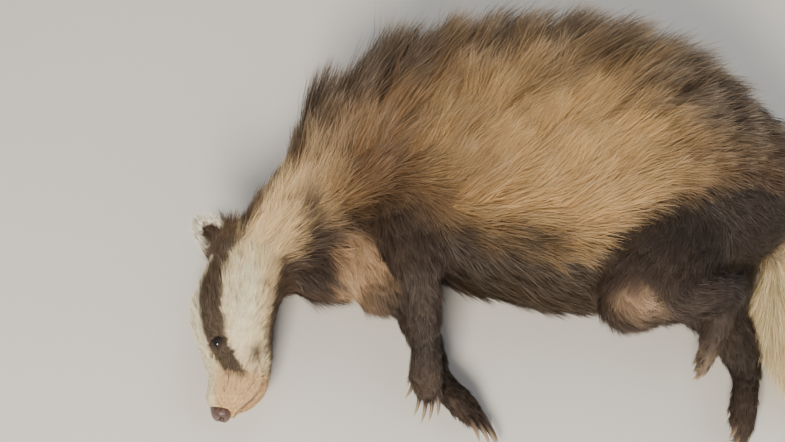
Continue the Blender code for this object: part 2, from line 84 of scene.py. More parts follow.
lamp("key", 0.6, 60.0, (1.0, 0.91, 0.78), (-0.42, -1.40, 1.30), (0.02, 0.0, 0.05))
lamp("fill", 1.6, 12.0, (0.94, 0.97, 1.0), (1.5, -0.4, 1.4), (0, 0, 0.05))
lamp("back", 1.2, 13.0, (1.0, 0.98, 0.95), (0.2, 1.5, 1.2), (0, 0, 0.1))
world = bpy.data.worlds.new("studio")
bpy.context.scene.world = world
world.use_nodes = True
world.node_tree.nodes["Background"].inputs["Color"].default_value = (0.90, 0.93, 1.0, 1)
world.node_tree.nodes["Background"].inputs["Strength"].default_value = 0.36


# ---------------------------------------------------------------- node helpers
class Nodes:
    """A short way to build a material's node tree."""

    def __init__(self, name):
        self.mat = bpy.data.materials.new(name)
        self.mat.use_nodes = True
        self.tree = self.mat.node_tree
        self.shader = self.tree.nodes["Principled BSDF"]

    def add(self, kind, **values):
        node = self.tree.nodes.new(kind)
        for key, value in values.items():
            if hasattr(node, key) and key not in node.inputs:
                setattr(node, key, value)
            else:
                self.put(node.inputs[key.replace("_", " ")], value)
        return node

    def put(self, socket, value):
        if isinstance(value, bpy.types.NodeSocket):
            self.tree.links.new(value, socket)
        else:
            socket.default_value = value

    def math(self, operation, a, b=0.0, clamp=False):
        node = self.tree.nodes.new("ShaderNodeMath")
        node.operation, node.use_clamp = operation, clamp
        self.put(node.inputs[0], a)
        self.put(node.inputs[1], b)
        return node.outputs[0]

    def mix(self, factor, a, b, blend="MIX"):
        node = self.tree.nodes.new("ShaderNodeMix")
        node.data_type, node.blend_type = "RGBA", blend
        self.put(node.inputs[0], factor)
        self.put(node.inputs[6], a if isinstance(a, bpy.types.NodeSocket) else (*a, 1))
        self.put(node.inputs[7], b if isinstance(b, bpy.types.NodeSocket) else (*b, 1))
        return node.outputs[2]

    def noise(self, scale, detail=3.0, rough=0.55, vector=None, distortion=0.0):
        node = self.tree.nodes.new("ShaderNodeTexNoise")
        node.inputs["Scale"].default_value = scale
        node.inputs["Detail"].default_value = detail
        node.inputs["Roughness"].default_value = rough
        node.inputs["Distortion"].default_value = distortion
        if vector is None:
            vector = self.tree.nodes.new("ShaderNodeTexCoord").outputs["Object"]
        self.put(node.inputs["Vector"], vector)
        return node.outputs["Fac"]

    def ramp(self, factor, *stops):
        node = self.tree.nodes.new("ShaderNodeValToRGB")
        while len(node.color_ramp.elements) < len(stops):
            node.color_ramp.elements.new(0.5)
        for element, (place, colour) in zip(node.color_ramp.elements, stops):
            element.position = place
            element.color = (*colour, 1) if len(colour) == 3 else colour
        self.put(node.inputs["Fac"], factor)
        return node.outputs["Color"]

    def attribute(self, name, output="Fac"):
        node = self.tree.nodes.new("ShaderNodeAttribute")
        node.attribute_name = name
        return node.outputs[output]

    def bump(self, height, distance, strength=1.0):
        node = self.tree.nodes.new("ShaderNodeBump")
        node.inputs["Strength"].default_value = strength
        node.inputs["Distance"].default_value = distance
        self.put(node.inputs["Height"], height)
        self.put(self.shader.inputs["Normal"], node.outputs["Normal"])

    def set(self, **values):
        for key, value in values.items():
            self.put(self.shader.inputs[key.replace("_", " ")], value)
        return self.mat


def rgb(r, g, b):
    """Linear colour of a display colour given as 0 to 255."""
    c = np.array([r, g, b]) / 255
    return tuple(np.where(c <= 0.04045, c / 12.92, ((c + 0.055) / 1.055) ** 2.4))


# ---------------------------------------------------------------- curves and frames (all lengths in cm from here on)
def monotone(x, y, at):
    """Smooth interpolation that never overshoots its stations (PCHIP), for one or more columns."""
    x, y, at = np.asarray(x, float), np.asarray(y, float), np.asarray(at, float)
    y = y.reshape(len(x), -1)
    h = np.diff(x)
    slope = np.diff(y, axis=0) / h[:, None]
    m = np.zeros_like(y)
    m[0], m[-1] = slope[0], slope[-1]
    for k in range(1, len(x) - 1):
        same = slope[k - 1] * slope[k] > 0
        w1, w2 = 2 * h[k] + h[k - 1], h[k] + 2 * h[k - 1]
        with np.errstate(divide="ignore", invalid="ignore"):
            m[k] = np.where(same, (w1 + w2) / (w1 / slope[k - 1] + w2 / slope[k]), 0)
    at = np.clip(at, x[0], x[-1])
    i = np.clip(np.searchsorted(x, at, side="right") - 1, 0, len(x) - 2)
    t = ((at - x[i]) / h[i])[:, None]
    a, b = y[i], y[i + 1]
    return ((1 + 2 * t) * (1 - t) ** 2 * a + t * (1 - t) ** 2 * h[i][:, None] * m[i]
            + t * t * (3 - 2 * t) * b + t * t * (t - 1) * h[i][:, None] * m[i + 1])


def curve_through(points, at):
    """Catmull-Rom curve through the points, by distance along their chords."""
    p = np.asarray(points, float)
    d = np.r_[0, np.cumsum(np.linalg.norm(np.diff(p, axis=0), axis=1))]
    m = np.gradient(p, d, axis=0)
    i = np.clip(np.searchsorted(d, at, side="right") - 1, 0, len(d) - 2)
    h = np.diff(d)[i][:, None]
    t = ((at - d[i]) / np.diff(d)[i])[:, None]
    return ((1 + 2 * t) * (1 - t) ** 2 * p[i] + t * (1 - t) ** 2 * h * m[i]
            + t * t * (3 - 2 * t) * p[i + 1] + t * t * (t - 1) * h * m[i + 1])


def unit(v):
    return v / np.maximum(np.linalg.norm(v, axis=-1, keepdims=True), 1e-9)


def step(x, a, b):
    """0 below a, 1 above b, smooth between."""
    t = np.clip((np.asarray(x, float) - a) / (b - a), 0, 1)
    return t * t * (3 - 2 * t)


def bell(x, middle, width):
    return np.exp(-((np.asarray(x, float) - middle) / width) ** 2)


def axes_at(backward, roll=0.0):
    """Forward, dorsal and left directions of sections, with left turned up as the animal lies."""
    forward = -unit(np.atleast_2d(backward))
    left = np.array([[0, 0, 1.0]]) - forward * forward[:, 2:3]
    left = unit(left)
    dorsal = np.cross(forward, left)
    r = np.radians(np.broadcast_to(roll, len(forward)))[:, None]
    return forward, dorsal * np.cos(r) + left * np.sin(r), left * np.cos(r) - dorsal * np.sin(r)


# The same stations as the solids: the outer form of the coat.
NOSE_TIP = np.array((-13.86, -14.95, 2.75))
HEAD_BACK = np.array((-12.16, -0.14, 4.90))
HEAD_ROLL = 12.0
# distance behind the nose tip: height above the axis, depth below it, half width, and the coat's depth there
HEAD_PROFILE = {
    0.15: (0.65, 0.70, 0.80, 0.06), 0.60: (1.20, 1.35, 1.35, 0.09), 1.20: (1.55, 2.10, 1.65, 0.10), 2.60: (1.80, 3.35, 2.05, 0.12),
    4.00: (2.20, 3.45, 2.35, 0.13), 5.10: (2.80, 3.35, 2.70, 0.15), 6.20: (3.45, 3.20, 3.15, 0.18), 7.60: (4.05, 3.10, 3.75, 0.24),
    9.10: (4.30, 3.20, 4.30, 0.34), 10.6: (4.30, 3.60, 4.65, 0.48), 12.1: (4.10, 4.10, 4.80, 0.68), 13.6: (3.70, 4.70, 4.85, 0.95)}
# centre, dorsal and ventral half depth, half width, and the coat's depth: dorsal, ventral, side
BODY_STATIONS = {
    "nape":     (-10.9, 0.45, 5.35, 3.05, 5.30, 5.15, 1.1, 1.3, 1.2),
    "neck":     (-8.4, 2.60, 6.20, 3.75, 5.80, 5.80, 1.5, 1.3, 1.3),
    "neckroot": (-5.2, 4.60, 7.10, 6.15, 7.00, 6.80, 2.0, 1.3, 1.4),
    "shoulder": (-1.2, 5.55, 7.80, 9.50, 8.80, 7.80, 2.6, 1.2, 1.5),
    "withers":  (3.2, 5.70, 8.30, 12.0, 10.6, 8.60, 3.1, 1.1, 1.6),
    "ribs":     (8.6, 5.50, 8.50, 13.5, 12.3, 8.90, 3.4, 1.1, 1.7),
    "waist":    (14.4, 5.20, 8.50, 14.2, 13.3, 8.90, 3.5, 1.1, 1.7),
    "loin":     (19.8, 4.60, 8.45, 13.9, 12.6, 8.90, 3.5, 1.1, 1.7),
    "hips":     (24.8, 3.70, 8.30, 12.6, 10.9, 8.60, 3.4, 1.1, 1.6),
    "croup":    (28.9, 2.70, 7.90, 10.0, 8.60, 7.80, 3.0, 1.1, 1.5),
    "rump":     (31.9, 1.80, 7.50, 6.70, 5.90, 6.20, 2.2, 1.0, 1.3),
    "tailhead": (33.7, 1.20, 7.20, 3.20, 2.90, 3.40, 1.2, 0.9, 1.1),
}
BELLY_SAG = 0.19
TAIL_STATIONS = ((31.2, 2.6, 7.3, 2.6, 2.7), (32.9, 0.4, 6.3, 3.1, 3.1), (33.1, -2.5, 5.0, 3.5, 3.4), (33.1, -5.6, 3.95, 3.7, 3.6),
                 (33.9, -8.8, 3.35, 3.1, 3.2), (34.7, -11.4, 2.6, 2.2, 2.4), (35.5, -13.3, 1.7, 0.9, 1.0))
RUFF_STATIONS = ((-8.6, -1.4, 4.2, 3.4, 3.7), (-6.4, -1.4, 4.2, 3.6, 4.0), (-4.4, -1.3, 4.2, 3.5, 4.0))
LEGS = {
    "fore_left": (((0.6, 3.2, 8.6, 4.2, 4.2), (1.2, -1.2, 11.0, 3.6, 3.8), (2.0, -4.7, 11.0, 2.8, 2.9)),
                  ((2.0, -5.0, 11.0, 2.2, 2.3), (2.5, -7.4, 8.9, 1.75, 1.9), (2.75, -9.8, 6.4, 1.4, 1.55))),
    "fore_right": (((-0.6, 3.0, 5.2, 4.9, 4.4), (-1.5, -0.8, 4.4, 4.5, 4.1), (-0.6, -3.2, 3.8, 3.3, 3.4)),
                   ((0.9, -3.6, 3.4, 2.3, 2.4), (2.6, -7.6, 2.7, 1.7, 1.9), (3.9, -11.6, 2.2, 1.35, 1.6))),
    "hind_left": (((25.4, 2.4, 8.2, 6.0, 5.0), (22.0, -3.2, 10.9, 5.3, 4.5), (18.9, -7.9, 11.0, 3.4, 3.3)),
                  ((19.3, -8.0, 11.0, 2.6, 2.5), (23.2, -7.9, 10.9, 2.2, 2.3), (27.0, -7.1, 10.5, 1.6, 1.7))),
    "hind_right": (((26.5, 1.4, 5.4, 6.0, 5.0), (27.0, -2.4, 4.6, 4.6, 4.2), (27.2, -5.2, 3.8, 3.3, 3.4)),
                   ((27.6, -5.7, 3.6, 2.5, 2.8), (28.9, -8.4, 3.0, 2.0, 2.3), (29.7, -10.8, 2.4, 1.55, 1.75))),
}
PAWS = {
    "fore_left":  dict(start=(2.75, -9.8, 6.4), end=(2.75, -13.2, 3.2), thick=1.20, wide=1.72, toe=0.58, claw=2.2, lean=46.0),
    "fore_right": dict(start=(3.9, -11.6, 2.2), end=(7.2, -15.0, 1.95), thick=1.15, wide=1.80, toe=0.58, claw=2.5, lean=-38.0),
    "hind_left":  dict(start=(27.0, -7.1, 10.5), end=(25.6, -11.0, 4.2), thick=1.15, wide=1.65, toe=0.56, claw=1.4, lean=12.0),
    "hind_right": dict(start=(29.7, -10.8, 2.4), end=(28.7, -16.4, 1.9), thick=1.10, wide=1.75, toe=0.55, claw=1.6, lean=-34.0),
}
EYE_RADIUS, EYE_BEHIND_NOSE, EYE_ANGLE, EYE_SUNK = 0.50, 5.50, 61.0, 0.33
EAR_HEIGHT, EAR_WIDTH, EAR_BEHIND_NOSE, EAR_ANGLE = 3.3, 3.1, 13.35, 52.0

HEAD_FORWARD, HEAD_DORSAL, HEAD_LEFT = (v[0] for v in axes_at(HEAD_BACK - NOSE_TIP, HEAD_ROLL))


class Axis:
    """A bent axis with an oval section all along it. It gives any point its distance along, its angle and its height over the form."""

    def __init__(self, name, centres, dorsal, left, backward, up, down, wide, inset, power, sag=0.0):
        self.name, self.c, self.d, self.l, self.t = name, centres, dorsal, left, backward
        self.up, self.down, self.wide, self.inset, self.power = up, down, wide, inset, power
        self.sag = np.broadcast_to(sag, len(centres))
        self.s = np.r_[0, np.cumsum(np.linalg.norm(np.diff(centres, axis=0), axis=1))]

    def radius(self, i, angle, inner=True):
        c, s = np.cos(angle), np.sin(angle)
        inset = self.inset[i] if inner else np.zeros((len(i), 3))
        up = np.maximum(self.up[i] - inset[:, 0], 0.15)
        down = np.maximum(self.down[i] - inset[:, 1], 0.15)
        wide = np.maximum(self.wide[i] - inset[:, 2], 0.15)
        high = np.where(c > 0, up, down * (1 + self.sag[i] * np.maximum(0, -s) * 0.6))
        n = self.power
        return ((np.abs(c) / high) ** n + (np.abs(s) / wide) ** n) ** (-1 / n)

    def place(self, p):
        """Nearest station, distance along, angle from dorsal towards left, and height over the inner form, of each point."""
        best = np.empty(len(p), int)
        c = self.c.astype(np.float32)
        for k in range(0, len(p), 20000):
            q = p[k:k + 20000].astype(np.float32)
            best[k:k + 20000] = ((c ** 2).sum(1)[None] - 2 * q @ c.T).argmin(1)
        q = p - self.c[best]
        along = (q * self.t[best]).sum(1)
        a, b = (q * self.d[best]).sum(1), (q * self.l[best]).sum(1)
        angle = np.arctan2(b, a)
        flat = np.hypot(a, b)
        over = flat - self.radius(best, angle)
        beyond = np.where((best == 0) | (best == len(self.c) - 1), np.abs(along), 0)
        over = np.where(beyond > 0.3, np.hypot(np.maximum(over, 0), beyond), over)
        return best, self.s[best] + np.clip(along, -0.5, 0.5), angle, over

    def rings(self, sides, every=1, deeper=0.0):
        i = np.arange(0, len(self.c), every)
        if i[-1] != len(self.c) - 1:
            i = np.r_[i, len(self.c) - 1]
        out = []
        for k in i:
            a = 2 * np.pi * np.arange(sides) / sides
            r = self.radius(np.full(sides, k), a) - deeper
            out.append(self.c[k] + self.d[k] * (np.cos(a) * r)[:, None] + self.l[k] * (np.sin(a) * r)[:, None])
        return out


def make_spine():
    along = unit(HEAD_BACK - NOSE_TIP)
    rows = [(*(NOSE_TIP + along * s), *v[:3], v[3], v[3], v[3], HEAD_ROLL, 0.0) for s, v in HEAD_PROFILE.items()]
    for k, v in enumerate(BODY_STATIONS.values()):
        rows.append((*v, HEAD_ROLL * max(0.0, 1 - (k + 1) / 4), BELLY_SAG if k > 3 else 0.0))
    rows = np.array(rows)
    d = np.r_[0, np.cumsum(np.linalg.norm(np.diff(rows[:, :3], axis=0), axis=1))]
    at = np.r_[np.arange(0, 3, 0.15), np.arange(3, d[-1], 0.35), d[-1]]
    c = curve_through(rows[:, :3], at)
    t = curve_through(rows[:, :3], np.clip(at + 0.4, 0, d[-1])) - curve_through(rows[:, :3], np.clip(at - 0.4, 0, d[-1]))
    v = monotone(d, rows[:, 3:], at)
    _, dorsal, left = axes_at(t, v[:, 6])
    names = list(BODY_STATIONS)
    where = {n: d[len(HEAD_PROFILE) + k] + 0.15 for k, n in enumerate(names)}
    spine = Axis("spine", c, dorsal, left, unit(t), v[:, 0], v[:, 1], v[:, 2], v[:, 3:6], 2.3, v[:, 7])
    spine.s = spine.s + 0.15
    return spine, where


def make_tube(name, stations, inset, power=2.15, dense=0.3):
    rows = np.array(stations, float)
    d = np.r_[0, np.cumsum(np.linalg.norm(np.diff(rows[:, :3], axis=0), axis=1))]
    at = np.linspace(0, d[-1], int(d[-1] / dense) + 2)
    c = curve_through(rows[:, :3], at)
    t = unit(np.gradient(c, axis=0))
    v = monotone(d, rows[:, 3:], at)
    _, dorsal, left = axes_at(t)
    inset = np.interp(at / d[-1], np.linspace(0, 1, len(inset)), inset)
    return Axis(name, c, dorsal, left, t, v[:, 0], v[:, 0], v[:, 1], np.repeat(inset[:, None], 3, 1), power)


SPINE, AT = make_spine()
TAIL = make_tube("tail", TAIL_STATIONS, (1.5, 2.1, 2.1, 1.5, 0.4))
RUFF = make_tube("ruff", RUFF_STATIONS, (0.75, 0.75))
LIMBS = {}
for leg, (upper, lower) in LEGS.items():
    LIMBS[leg, "upper"] = make_tube(leg + "_upper", upper, (1.0, 0.7, 0.55))
    LIMBS[leg, "lower"] = make_tube(leg + "_lower", lower, (0.50, 0.40, 0.32))


def paw_axes(spec):
    start, end = np.array(spec["start"]), np.array(spec["end"])
    along = unit(end - start)
    wide = unit(np.array([0, 0, 1.0]) - along * along[2])
    back = -np.cross(along, wide)
    a = math.radians(spec["lean"])
    return start, end, along, wide * math.cos(a) + back * math.sin(a), back * math.cos(a) - wide * math.sin(a)


def toe_line(spec, k):
    """Root and tip of toe k of 5, fanned a little, the middle ones longest."""
    start, end, along, wide, back = paw_axes(spec)
    length = np.linalg.norm(end - start)
    side = (k - 2) / 2
    root = start + along * length * 0.62 + wide * side * (spec["wide"] - spec["toe"]) * 0.86
    tip = (start + along * length * (1.0 - 0.13 * abs(side) ** 1.6 - (0.07 if k == 0 else 0))
           + wide * side * (spec["wide"] - spec["toe"]) * 1.12 - back * 0.12)
    return root, tip


PAW_AXES = {}
for leg, spec in PAWS.items():
    start, end, along, wide, back = paw_axes(spec)
    length = np.linalg.norm(end - start)
    share = np.linspace(-0.1, 1.0, 14)
    thick = np.interp(share, (-0.1, 0.02, 0.45, 0.62, 0.8, 1.0), (0.8, 1.02, 1.05, 0.98, 0.72, 0.5)) * spec["thick"]
    broad = np.interp(share, (-0.1, 0.02, 0.45, 0.62, 0.8, 1.0), (0.6, 0.75, 0.97, 1.02, 1.05, 0.95)) * spec["wide"]
    n = len(share)
    PAW_AXES[leg] = Axis(leg + "_paw", start + along * (share * length)[:, None], np.tile(back, (n, 1)), np.tile(wide, (n, 1)),
                         np.tile(along, (n, 1)), thick, thick, broad, np.full((n, 3), 0.18), 2.2)


# ---------------------------------------------------------------- the skin
def closed(rings):
    """Points and faces of a closed form over a run of rings."""
    n = len(rings[0])
    points = np.concatenate(rings + [rings[0].mean(0)[None], rings[-1].mean(0)[None]])
    faces = []
    for r in range(len(rings) - 1):
        for k in range(n):
            faces.append((r * n + k, r * n + (k + 1) % n, (r + 1) * n + (k + 1) % n, (r + 1) * n + k))
    a, b, last = len(points) - 2, len(points) - 1, (len(rings) - 1) * n
    for k in range(n):
        faces.append((a, (k + 1) % n, k))
        faces.append((last + k, last + (k + 1) % n, b))
    return points, faces


def ball(centre, radii, axes, turns=16, rows=9):
    rings = []
    for j in range(1, rows):
        a = math.pi * j / rows
        t = 2 * np.pi * np.arange(turns) / turns
        q = np.stack([np.cos(t) * math.sin(a), np.sin(t) * math.sin(a), np.full(turns, -math.cos(a))], 1) * radii
        rings.append(centre + q @ np.array(axes))
    return closed(rings)


def rounded_tube(stations, sides, steps):
    """A bent tube with round ends, from x, y, z, half thickness, half thickness rows."""
    rows = np.array(stations, float)
    d = np.r_[0, np.cumsum(np.linalg.norm(np.diff(rows[:, :3], axis=0), axis=1))]
    at = np.linspace(0, d[-1], steps)
    c = curve_through(rows[:, :3], at)
    t = unit(np.gradient(c, axis=0))
    v = monotone(d, rows[:, 3:], at)
    _, dorsal, left = axes_at(t)
    a = 2 * np.pi * np.arange(sides) / sides
    rings = []

    def ring(k, move, scale):
        rings.append(c[k] + t[k] * move + (dorsal[k] * np.cos(a)[:, None] * v[k, 0] + left[k] * np.sin(a)[:, None] * v[k, 1]) * scale)

    for q in (80, 55, 28):
        ring(0, -math.sin(math.radians(q)) * min(v[0]), math.cos(math.radians(q)))
    for k in range(steps):
        ring(k, 0, 1)
    for q in (28, 55, 80):
        ring(steps - 1, math.sin(math.radians(q)) * min(v[-1]), math.cos(math.radians(q)))
    return closed(rings)


def ear_axes(side):
    base, outward = on_head(EAR_BEHIND_NOSE, EAR_ANGLE * side, -0.9)
    if side > 0:
        up = unit(outward * 0.80 - HEAD_FORWARD * 0.50 + HEAD_DORSAL * 0.45)
        facing = unit(HEAD_LEFT * 0.70 + HEAD_FORWARD * 0.62 - HEAD_DORSAL * 0.30)
    else:
        up = unit(HEAD_DORSAL * 0.50 - HEAD_FORWARD * 0.95 + np.array([0, 0, 0.05]))
        facing = unit(-HEAD_LEFT * 0.60 + HEAD_FORWARD * 0.45 + HEAD_DORSAL * 0.35)
    facing = unit(facing - up * (facing @ up))
    return base, up, facing, np.cross(up, facing)


def on_head(behind, angle, out=0.0):
    """A point of the head's outer form and its outward direction; angle is from the crown towards the left."""
    s = np.array(list(HEAD_PROFILE))
    up, down, wide, _ = monotone(s, np.array(list(HEAD_PROFILE.values())), [behind])[0]
    a = math.radians(angle)
    c, q = math.cos(a), math.sin(a)
    high = up if c > 0 else down
    cc, qq = math.copysign(abs(c) ** (2 / 2.3), c), math.copysign(abs(q) ** (2 / 2.3), q)
    outward = unit(HEAD_DORSAL * cc / high + HEAD_LEFT * qq / wide)
    return NOSE_TIP - HEAD_FORWARD * behind + HEAD_DORSAL * cc * high + HEAD_LEFT * qq * wide + outward * out, outward


def ear_form(side):
    """The cupped leaf of an ear, thick enough to carry its short fur: front and back walls meet at a round rim."""
    base, up, facing, across = ear_axes(side)
    rows, cols = 13, 15
    height = EAR_HEIGHT + 0.70
    grid = []
    for j in range(rows):
        t = j / (rows - 1)
        half = (EAR_WIDTH - 0.25) / 2 * math.sqrt(max(0.0, 1 - (max(0, t - 0.50) / 0.51) ** 2)) * (0.80 + 0.20 * min(1, t / 0.35))
        half = max(half, 0.16)
        u = np.linspace(-1, 1, cols)
        rise = height * (t - 0.07 * u * u * step(t, 0.4, 0.9))
        grid.append(base + up * rise[:, None] + across * (u * half)[:, None]
                    + facing * (0.50 * half * u * u - 0.42 * math.sin(math.pi * min(1, t * 1.08)))[:, None])
    grid = np.array(grid)
    v = np.linspace(-1, 1, cols)
    wall = 0.25 * np.sqrt(np.clip(1 - (np.abs(v) ** 6), 0.2, 1))[None, :] * np.linspace(1.25, 0.9, rows)[:, None]
    wall[-1] *= 0.6
    front, rear = grid + facing * wall[:, :, None], grid - facing * wall[:, :, None]
    points = np.concatenate([front.reshape(-1, 3), rear.reshape(-1, 3)])
    faces, m = [], rows * cols
    for j in range(rows - 1):
        for k in range(cols - 1):
            a = j * cols + k
            faces.append((a, a + 1, a + cols + 1, a + cols))
            faces.append((m + a, m + a + cols, m + a + cols + 1, m + a + 1))
    edge = ([k for k in range(cols)] + [j * cols + cols - 1 for j in range(1, rows)]
            + [(rows - 1) * cols + k for k in range(cols - 2, -1, -1)] + [j * cols for j in range(rows - 2, 0, -1)])
    for a, b in zip(edge, edge[1:] + edge[:1]):
        faces.append((b, a, m + a, m + b))
    return points, faces


def new_object(name, points, faces, where=None):
    mesh = bpy.data.meshes.new(name)
    mesh.from_pydata(((np.asarray(points) + SHIFT) * CM).tolist(), [], [tuple(f) for f in faces])
    mesh.update()
    obj = bpy.data.objects.new(name, mesh)
    bpy.context.scene.collection.objects.link(obj)
    return obj


def read_points(mesh):
    v = np.empty(len(mesh.vertices) * 3, np.float32)
    mesh.vertices.foreach_get("co", v)
    return v.reshape(-1, 3).astype(float) / CM - SHIFT


def write_points(mesh, p):
    mesh.vertices.foreach_set("co", ((p + SHIFT) * CM).astype(np.float32).ravel())
    mesh.update()


def read_normals(mesh):
    v = np.empty(len(mesh.vertices) * 3, np.float32)
    mesh.vertex_normals.foreach_get("vector", v)
    return v.reshape(-1, 3).astype(float)


def neighbours(mesh):
    edges = np.empty(len(mesh.edges) * 2, np.int32)
    mesh.edges.foreach_get("vertices", edges)
    edges = edges.reshape(-1, 2)
    count = np.bincount(edges.ravel(), minlength=len(mesh.vertices))
    return edges, np.maximum(count, 1)[:, None]


def relax(p, edges, count, times, weight=0.5):
    """Laplacian smoothing; weight may differ from point to point."""
    weight = np.broadcast_to(np.asarray(weight, float), len(p))[:, None]
    for _ in range(times):
        total = np.stack([np.bincount(edges[:, 0], p[edges[:, 1], k], len(p)) + np.bincount(edges[:, 1], p[edges[:, 0], k], len(p))
                          for k in range(3)], 1)
        p = p + (total / count - p) * weight
    return p


def head_local(p):
    q = p - NOSE_TIP
    return -(q @ HEAD_FORWARD), q @ HEAD_DORSAL, q @ HEAD_LEFT


def eye_frame(side):
    centre, outward = on_head(EYE_BEHIND_NOSE, EYE_ANGLE * side, -EYE_SUNK)
    along = unit(HEAD_FORWARD - outward * (HEAD_FORWARD @ outward))
    over = np.cross(outward, along) * side
    return centre, outward, along, over


LIP = np.array(((0.35, -0.95), (0.8, -1.30), (1.5, -1.95), (2.4, -2.55), (3.3, -2.72), (4.1, -2.50), (4.8, -2.05), (5.25, -1.75)))
FORMS = []
rings = SPINE.rings(56)
rings = [np.column_stack([r[:, :2], np.maximum(r[:, 2], 0.45)]) for r in rings]
FORMS.append(closed(rings))
FORMS.append(closed([np.column_stack([r[:, :2], np.maximum(r[:, 2], 0.3)]) for r in TAIL.rings(20)]))
FORMS.append(rounded_tube(np.column_stack([RUFF.c, RUFF.up - RUFF.inset[:, 0], RUFF.wide - RUFF.inset[:, 2]]), 28, 10))
for (leg, part), axis in LIMBS.items():
    stations = np.column_stack([axis.c, axis.up - axis.inset[:, 0], axis.wide - axis.inset[:, 2]])
    FORMS.append(rounded_tube(stations[::3] if len(stations) > 12 else stations, 22, 14))
for leg, spec in PAWS.items():
    start, end, along, wide, back = paw_axes(spec)
    length = np.linalg.norm(end - start)
    rings = []
    for share, thick, broad in ((-0.16, 0.45, 0.40), (-0.10, 0.80, 0.62), (0.02, 1.02, 0.76), (0.22, 1.02, 0.84), (0.45, 1.02, 0.96),
                                (0.62, 0.92, 0.98), (0.76, 0.72, 0.94), (0.84, 0.45, 0.8), (0.88, 0.2, 0.5)):
        a = 2 * np.pi * np.arange(20) / 20
        rings.append(start + along * length * share + back * (np.cos(a) * (spec["thick"] * thick - 0.16))[:, None]
                     + wide * (np.sin(a) * (spec["wide"] * broad - 0.16))[:, None])
    FORMS.append(closed(rings))
    for k in range(5):
        root, tip = toe_line(spec, k)
        r = spec["toe"] - 0.13
        FORMS.append(rounded_tube(((*(root - along * 0.5), r * 0.9, r * 0.9), (*((root + tip) / 2 + back * 0.12), r * 1.06, r * 1.06),
                                   (*(tip - back * 0.05), r * 0.92, r * 0.92)), 14, 8))
        FORMS.append(ball(tip - along * 0.25 - back * (r * 0.62), np.array((0.36, 0.30, 0.52)), (wide, back, along)))
    FORMS.append(ball(start + along * length * 0.60 - back * (spec["thick"] * 0.62), np.array((spec["wide"] * 0.66, 0.42, 0.72)), (wide, back, along)))
FORMS.append(ball(NOSE_TIP - HEAD_FORWARD * 0.92 - HEAD_DORSAL * 0.62, np.array((1.12, 0.66, 0.95)), (HEAD_LEFT, HEAD_DORSAL, HEAD_FORWARD), 24, 12))
FORMS.append(ear_form(1))
FORMS.append(ear_form(-1))

points, faces, base = [], [], 0
for p, f in FORMS:
    points.append(p)
    faces += [tuple(i + base for i in face) for face in f]
    base += len(p)
skin = new_object("skin", np.concatenate(points), faces)
bm = bmesh.new()
bm.from_mesh(skin.data)
bmesh.ops.recalc_face_normals(bm, faces=bm.faces)
bm.to_mesh(skin.data)
bm.free()
remesh = skin.modifiers.new("one skin", "REMESH")
remesh.mode, remesh.voxel_size, remesh.use_smooth_shade = "VOXEL", 0.0026, True
bpy.context.view_layer.update()
made = bpy.data.meshes.new_from_object(skin.evaluated_get(bpy.context.evaluated_depsgraph_get()))
skin.modifiers.clear()
old, skin.data = skin.data, made
bpy.data.meshes.remove(old)


def body_parts(p):
    """Place of each point on each body part: nearest station, distance along, angle, and height over that part's own
    form.
    """
    out = {}
    for axis in [SPINE, TAIL, RUFF, *LIMBS.values(), *PAW_AXES.values()]:
        i, s, angle, over = axis.place(p)
        out[axis.name] = (i, s, angle, over)
    return out


# soft joins where a limb or the tail leaves the trunk
p = read_points(skin.data)
edges, count = neighbours(skin.data)
p = relax(p, edges, count, 3)
parts = body_parts(p)
near = np.stack([np.exp(-np.clip(v[3], 0, 9) / 0.9) for k, v in parts.items()], 1)
near.sort(1)
joint = np.clip(near[:, -2] * 1.6 - 0.25, 0, 1)
s_head, _, _ = head_local(p)
joint = joint * np.where((s_head < 11) & (p[:, 1] < -2) & (p[:, 0] < -6), 0, 1)
ear_zone = np.zeros(len(p))
for side in (1, -1):
    b, up, _, _ = ear_axes(side)
    ear_zone = np.maximum(ear_zone, np.exp(-(np.linalg.norm(p - (b + up * 1.9), axis=1) / 2.4) ** 4))
paw_zone = np.zeros(len(p))
for leg, axis in PAW_AXES.items():
    paw_zone = np.maximum(paw_zone, step(-parts[axis.name][3], -0.6, -0.2))
p = relax(p, edges, count, 26, 0.6 * joint * (1 - ear_zone) * (1 - paw_zone))
p = relax(p, edges, count, 6, 0.5 * (1 - ear_zone) * (1 - 0.8 * paw_zone))
write_points(skin.data, p)


# finer faces on the front of the head, and finer still round the eyes
def refine(mesh, wanted):
    bm = bmesh.new()
    bm.from_mesh(mesh)
    chosen = [f for f, w in zip(bm.faces, wanted) if w]
    edges = list({e for f in chosen for e in f.edges})
    bmesh.ops.subdivide_edges(bm, edges=edges, cuts=1, use_grid_fill=True)
    bm.to_mesh(mesh)
    bm.free()


def face_centres(mesh):
    c = np.empty(len(mesh.polygons) * 3, np.float32)
    mesh.polygons.foreach_get("center", c)
    return c.reshape(-1, 3) / CM - SHIFT


c = face_centres(skin.data)
s, d, l = head_local(c)
refine(skin.data, (s < 7.6) & (c[:, 0] < -8.5) & (c[:, 1] < -6))
for radius in (1.15, 0.95):
    c = face_centres(skin.data)
    wanted = np.zeros(len(c), bool)
    for side in (1, -1):
        centre, outward, *_ = eye_frame(side)
        wanted |= np.linalg.norm(c - centre, axis=1) < radius
    refine(skin.data, wanted)

